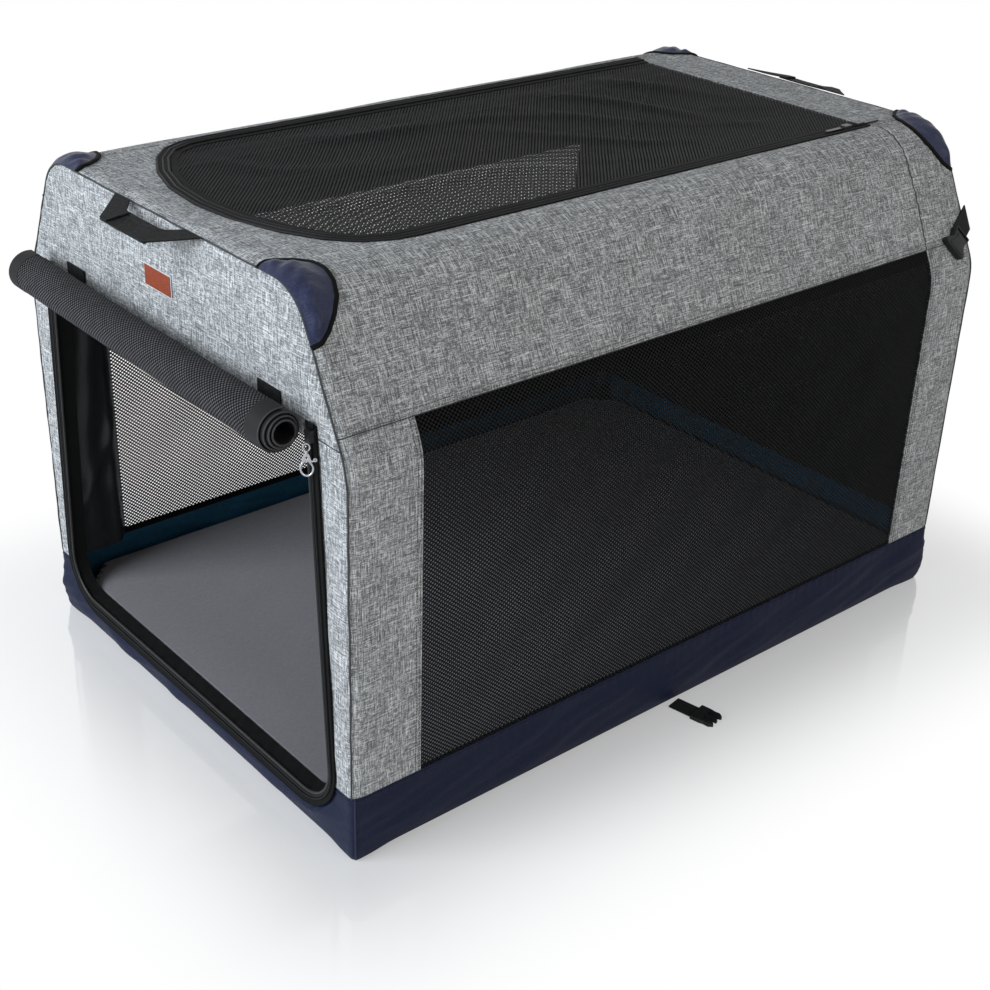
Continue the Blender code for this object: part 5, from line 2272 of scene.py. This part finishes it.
    def handle(self, end: End) -> None:
        """A webbing handle: a level grip with its ends folded back to the seam.

        Args:
            end: The end that it hangs on.
        """
        name, finish = f"handle_{end.word}", "black_webbing"
        place = (
            Matrix.Translation((0, end.value * (self.crate.half_length + 0.0013), self.handle_z))
            @ Matrix.Rotation(0.0 if end is End.REAR else math.pi, 4, "Z")
            @ Matrix.Rotation(math.radians(self.handle_degrees), 4, "X")
            @ Matrix.Translation((0, 0.0018, 0))
        )
        across, down = np.linspace(-1, 1, 30)[:, None], np.linspace(0, 1, 12)
        x, z = across * (0.036 + 0.006 * down), -0.0125 - 0.0265 * down
        curl = 0.0008 * np.sin(down * math.pi) + 0.0005 * np.cos(across * math.pi / 2)
        grip = grid(x, -0.0016 - curl, z)
        pieces = [self.sheet(f"{name}_grip", grip, grid(z, x), AHEAD, 0.0016, finish)]
        near = resampled(np.array([[0.052, 0.0], [0.036, -0.0125], [0.026, -0.0150]]), 16)
        far = resampled(np.array([[0.080, 0.0], [0.042, -0.039], [0.030, -0.0385]]), 16)
        share = np.linspace(0, 1, 8)
        flat, uv = between(near, far, share), grid(share * 0.026, lengths_along(far)[:, None])
        dip = 0.0001 - 0.0005 * np.sin(np.linspace(0, 1, 16) * math.pi)[:, None]
        for side in Side:
            leg = grid(side.value * flat[..., 0], dip, flat[..., 1])
            pieces.append(self.sheet(f"{name}_leg_{side.word}", leg, uv, AHEAD, 0.0015, finish))
        for piece in pieces:
            piece.matrix_world = place
        self.settle_all(pieces, name, "black_webbing", name)


@dataclass
class FrameDress(Assembly):
    """Finishes for the frame's own nodes that stay as they are."""

    frame: dict

    def build(self) -> None:
        """Gives each remaining node its material and smooth shading."""
        finishes = {
            "frame_paint": "frame_powder_coat",
            "bracket_plastic": "bracket_plastic",
            "steel_pin": "bright_steel",
            "black_webbing": "black_webbing",
            "zip_metal": "zip_nickel",
            "black_mesh": "rolled_net",
            "navy_cloth": "navy_cloth",
            "grey_melange": "grey_melange_cloth",
            "mat_cloth": "mat_cloth",
        }
        dark = ("top_zip_slider", "top_zip_pull", "door_zip_s")
        slots = {row["node"]: row["material_slot"] for row in self.frame["record"]["subparts"]}
        for node, obj in self.frame["nodes"].items():
            if obj.hide_render:
                continue
            mesh, slot = obj.data, slots[node]
            mesh.materials.clear()
            finish = "zip_dark_metal" if node.startswith(dark) else finishes[slot]
            mesh.materials.append(self.palette[finish])
            mesh.shade_smooth()
            mesh.set_sharp_from_angle(angle=math.radians(35))
            if slot == "bracket_plastic":
                ease = obj.modifiers.new("eased_edges", "BEVEL")
                ease.width = 0.0005
                ease.segments = 2
                ease.limit_method = "ANGLE"


# Stage


@dataclass(frozen=True)
class Studio:
    """The floor, the lamps and the camera."""

    camera_place: tuple[float, float, float] = (1.3276, -1.1722, 1.0929)
    camera_turn: tuple[float, float, float] = (1.0756, -0.0303, 0.8733)
    focal_length: float = 59.1
    ambient: float = 0.27

    def build(self) -> None:
        """Builds the whole stage."""
        self.floor()
        self.world()
        self.lamps()
        self.camera()

    def floor(self) -> None:
        """A white floor that keeps the crate's shadow and, close to it, a faint reflection."""
        material, shader, bsdf = start_material("studio_floor_white")
        white = (0.86, 0.86, 0.865, 1)
        shader.set(bsdf, {"Base Color": white, "Roughness": 0.5, "Specular IOR Level": 0.2})
        place = shader.add("SeparateXYZ", {"Vector": shader.add("TexCoord").outputs["Object"]})
        squares = []
        for axis, half in (("X", 0.305), ("Y", 0.455)):
            past = shader.math("SUBTRACT", shader.math("ABSOLUTE", place.outputs[axis]), half)
            past = shader.math("MAXIMUM", past, 0.0)
            squares.append(shader.math("MULTIPLY", past, past))
        away = shader.math("SQRT", shader.math("ADD", *squares))
        near = shader.spread(away, 0.0, 0.21, (0.34, 0.0), smooth=True)
        mirror = shader.add("BsdfGlossy", {"Color": (1, 1, 1, 1), "Roughness": 0.07})
        polished = shader.add("MixShader", {0: near, 1: bsdf.outputs[0], 2: mirror.outputs[0]})
        path = shader.add("LightPath")
        glow = shader.add("Emission", {"Color": (1, 1, 1, 1), "Strength": 1.0})
        open_floor = shader.spread(away, 0.0, 0.26, (0.34, 1.0), smooth=True)
        seen = shader.math("MULTIPLY", path.outputs["Is Camera Ray"], open_floor)
        blend = shader.add("MixShader", {0: seen, 1: polished.outputs[0], 2: glow.outputs[0]})
        shader.set(material.node_tree.nodes["Material Output"], {"Surface": blend.outputs[0]})
        line = np.linspace(-14, 14, 3)
        points = grid(line[:, None], line, 0.0).reshape(-1, 3)
        make_mesh("studio_floor", points, grid_faces(3, 3, 0, False), [material])

    def world(self) -> None:
        """White for the camera and for gloss, and a plain soft light for the rest."""
        world = bpy.data.worlds.new("studio")
        bpy.context.scene.world = world
        world.use_nodes = True
        shader = Shader(world.node_tree)
        path = shader.add("LightPath")
        seen = path.outputs["Is Camera Ray"]
        for kind in ("Is Glossy Ray", "Is Transmission Ray"):
            seen = shader.math("MAXIMUM", seen, path.outputs[kind])
        strength = shader.math("MULTIPLY_ADD", seen, 1 - self.ambient, self.ambient)
        back = world.node_tree.nodes["Background"]
        shader.set(back, {"Color": (1, 1, 1, 1), "Strength": strength})

    def lamp(
        self, name: str, place: Sequence[float], size: float, power: float, tint: Colour
    ) -> None:
        """One soft square lamp aimed at the crate.

        Args:
            name: The lamp's name.
            place: Where it is.
            size: Its side length.
            power: Its power in watts.
            tint: Its colour.
        """
        light = bpy.data.lights.new(name, "AREA")
        light.size = size
        light.energy = power
        light.color = tint
        obj = bpy.data.objects.new(name, light)
        bpy.context.scene.collection.objects.link(obj)
        obj.location = place
        aim = Vector((0, 0, 0.3)) - Vector(place)
        obj.rotation_euler = aim.to_track_quat("-Z", "Y").to_euler()

    def lamps(self) -> None:
        """A key on the door end and a fill on the long side."""
        self.lamp("key", (-0.6, -3.2, 1.7), 2.2, 136, (0.90, 0.98, 1.06))
        self.lamp("fill", (3.4, 0.2, 1.8), 2.4, 37, (1.0, 0.985, 0.95))

    def camera(self) -> None:
        """The photograph's viewpoint."""
        data = bpy.data.cameras.new("camera")
        data.lens = self.focal_length
        data.sensor_width = 36.0
        data.clip_end = 60.0
        camera = bpy.data.objects.new("camera", data)
        camera.location = self.camera_place
        camera.rotation_euler = self.camera_turn
        bpy.context.scene.collection.objects.link(camera)
        bpy.context.scene.camera = camera


def corners(box: tuple[Vector, Vector]) -> list[list[float]]:
    """A box's two corners as plain lists."""
    return [list(corner) for corner in box]


def main() -> None:
    """Builds the crate round its frame and sets the stage."""
    logging.basicConfig(level=logging.INFO, format="%(message)s")
    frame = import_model()
    bpy.context.scene.view_settings.view_transform = "Standard"
    crate, doorway, palette = Crate.from_frame(), Doorway(), Palette()
    box = ClothBox(crate, palette, doorway)
    box.build()
    Windows(crate, palette, box).build()
    Lining(crate, palette).build()
    CornerPatches(crate, palette).build()
    Base(crate, palette, doorway).build()
    Top(crate, palette).build()
    FrontDoor(crate, palette, doorway).build()
    Fittings(crate, palette).build()
    FrameDress(crate, palette, frame).build()
    Studio().build()
    bpy.context.view_layer.update()


if __name__ == "__main__":
    main()
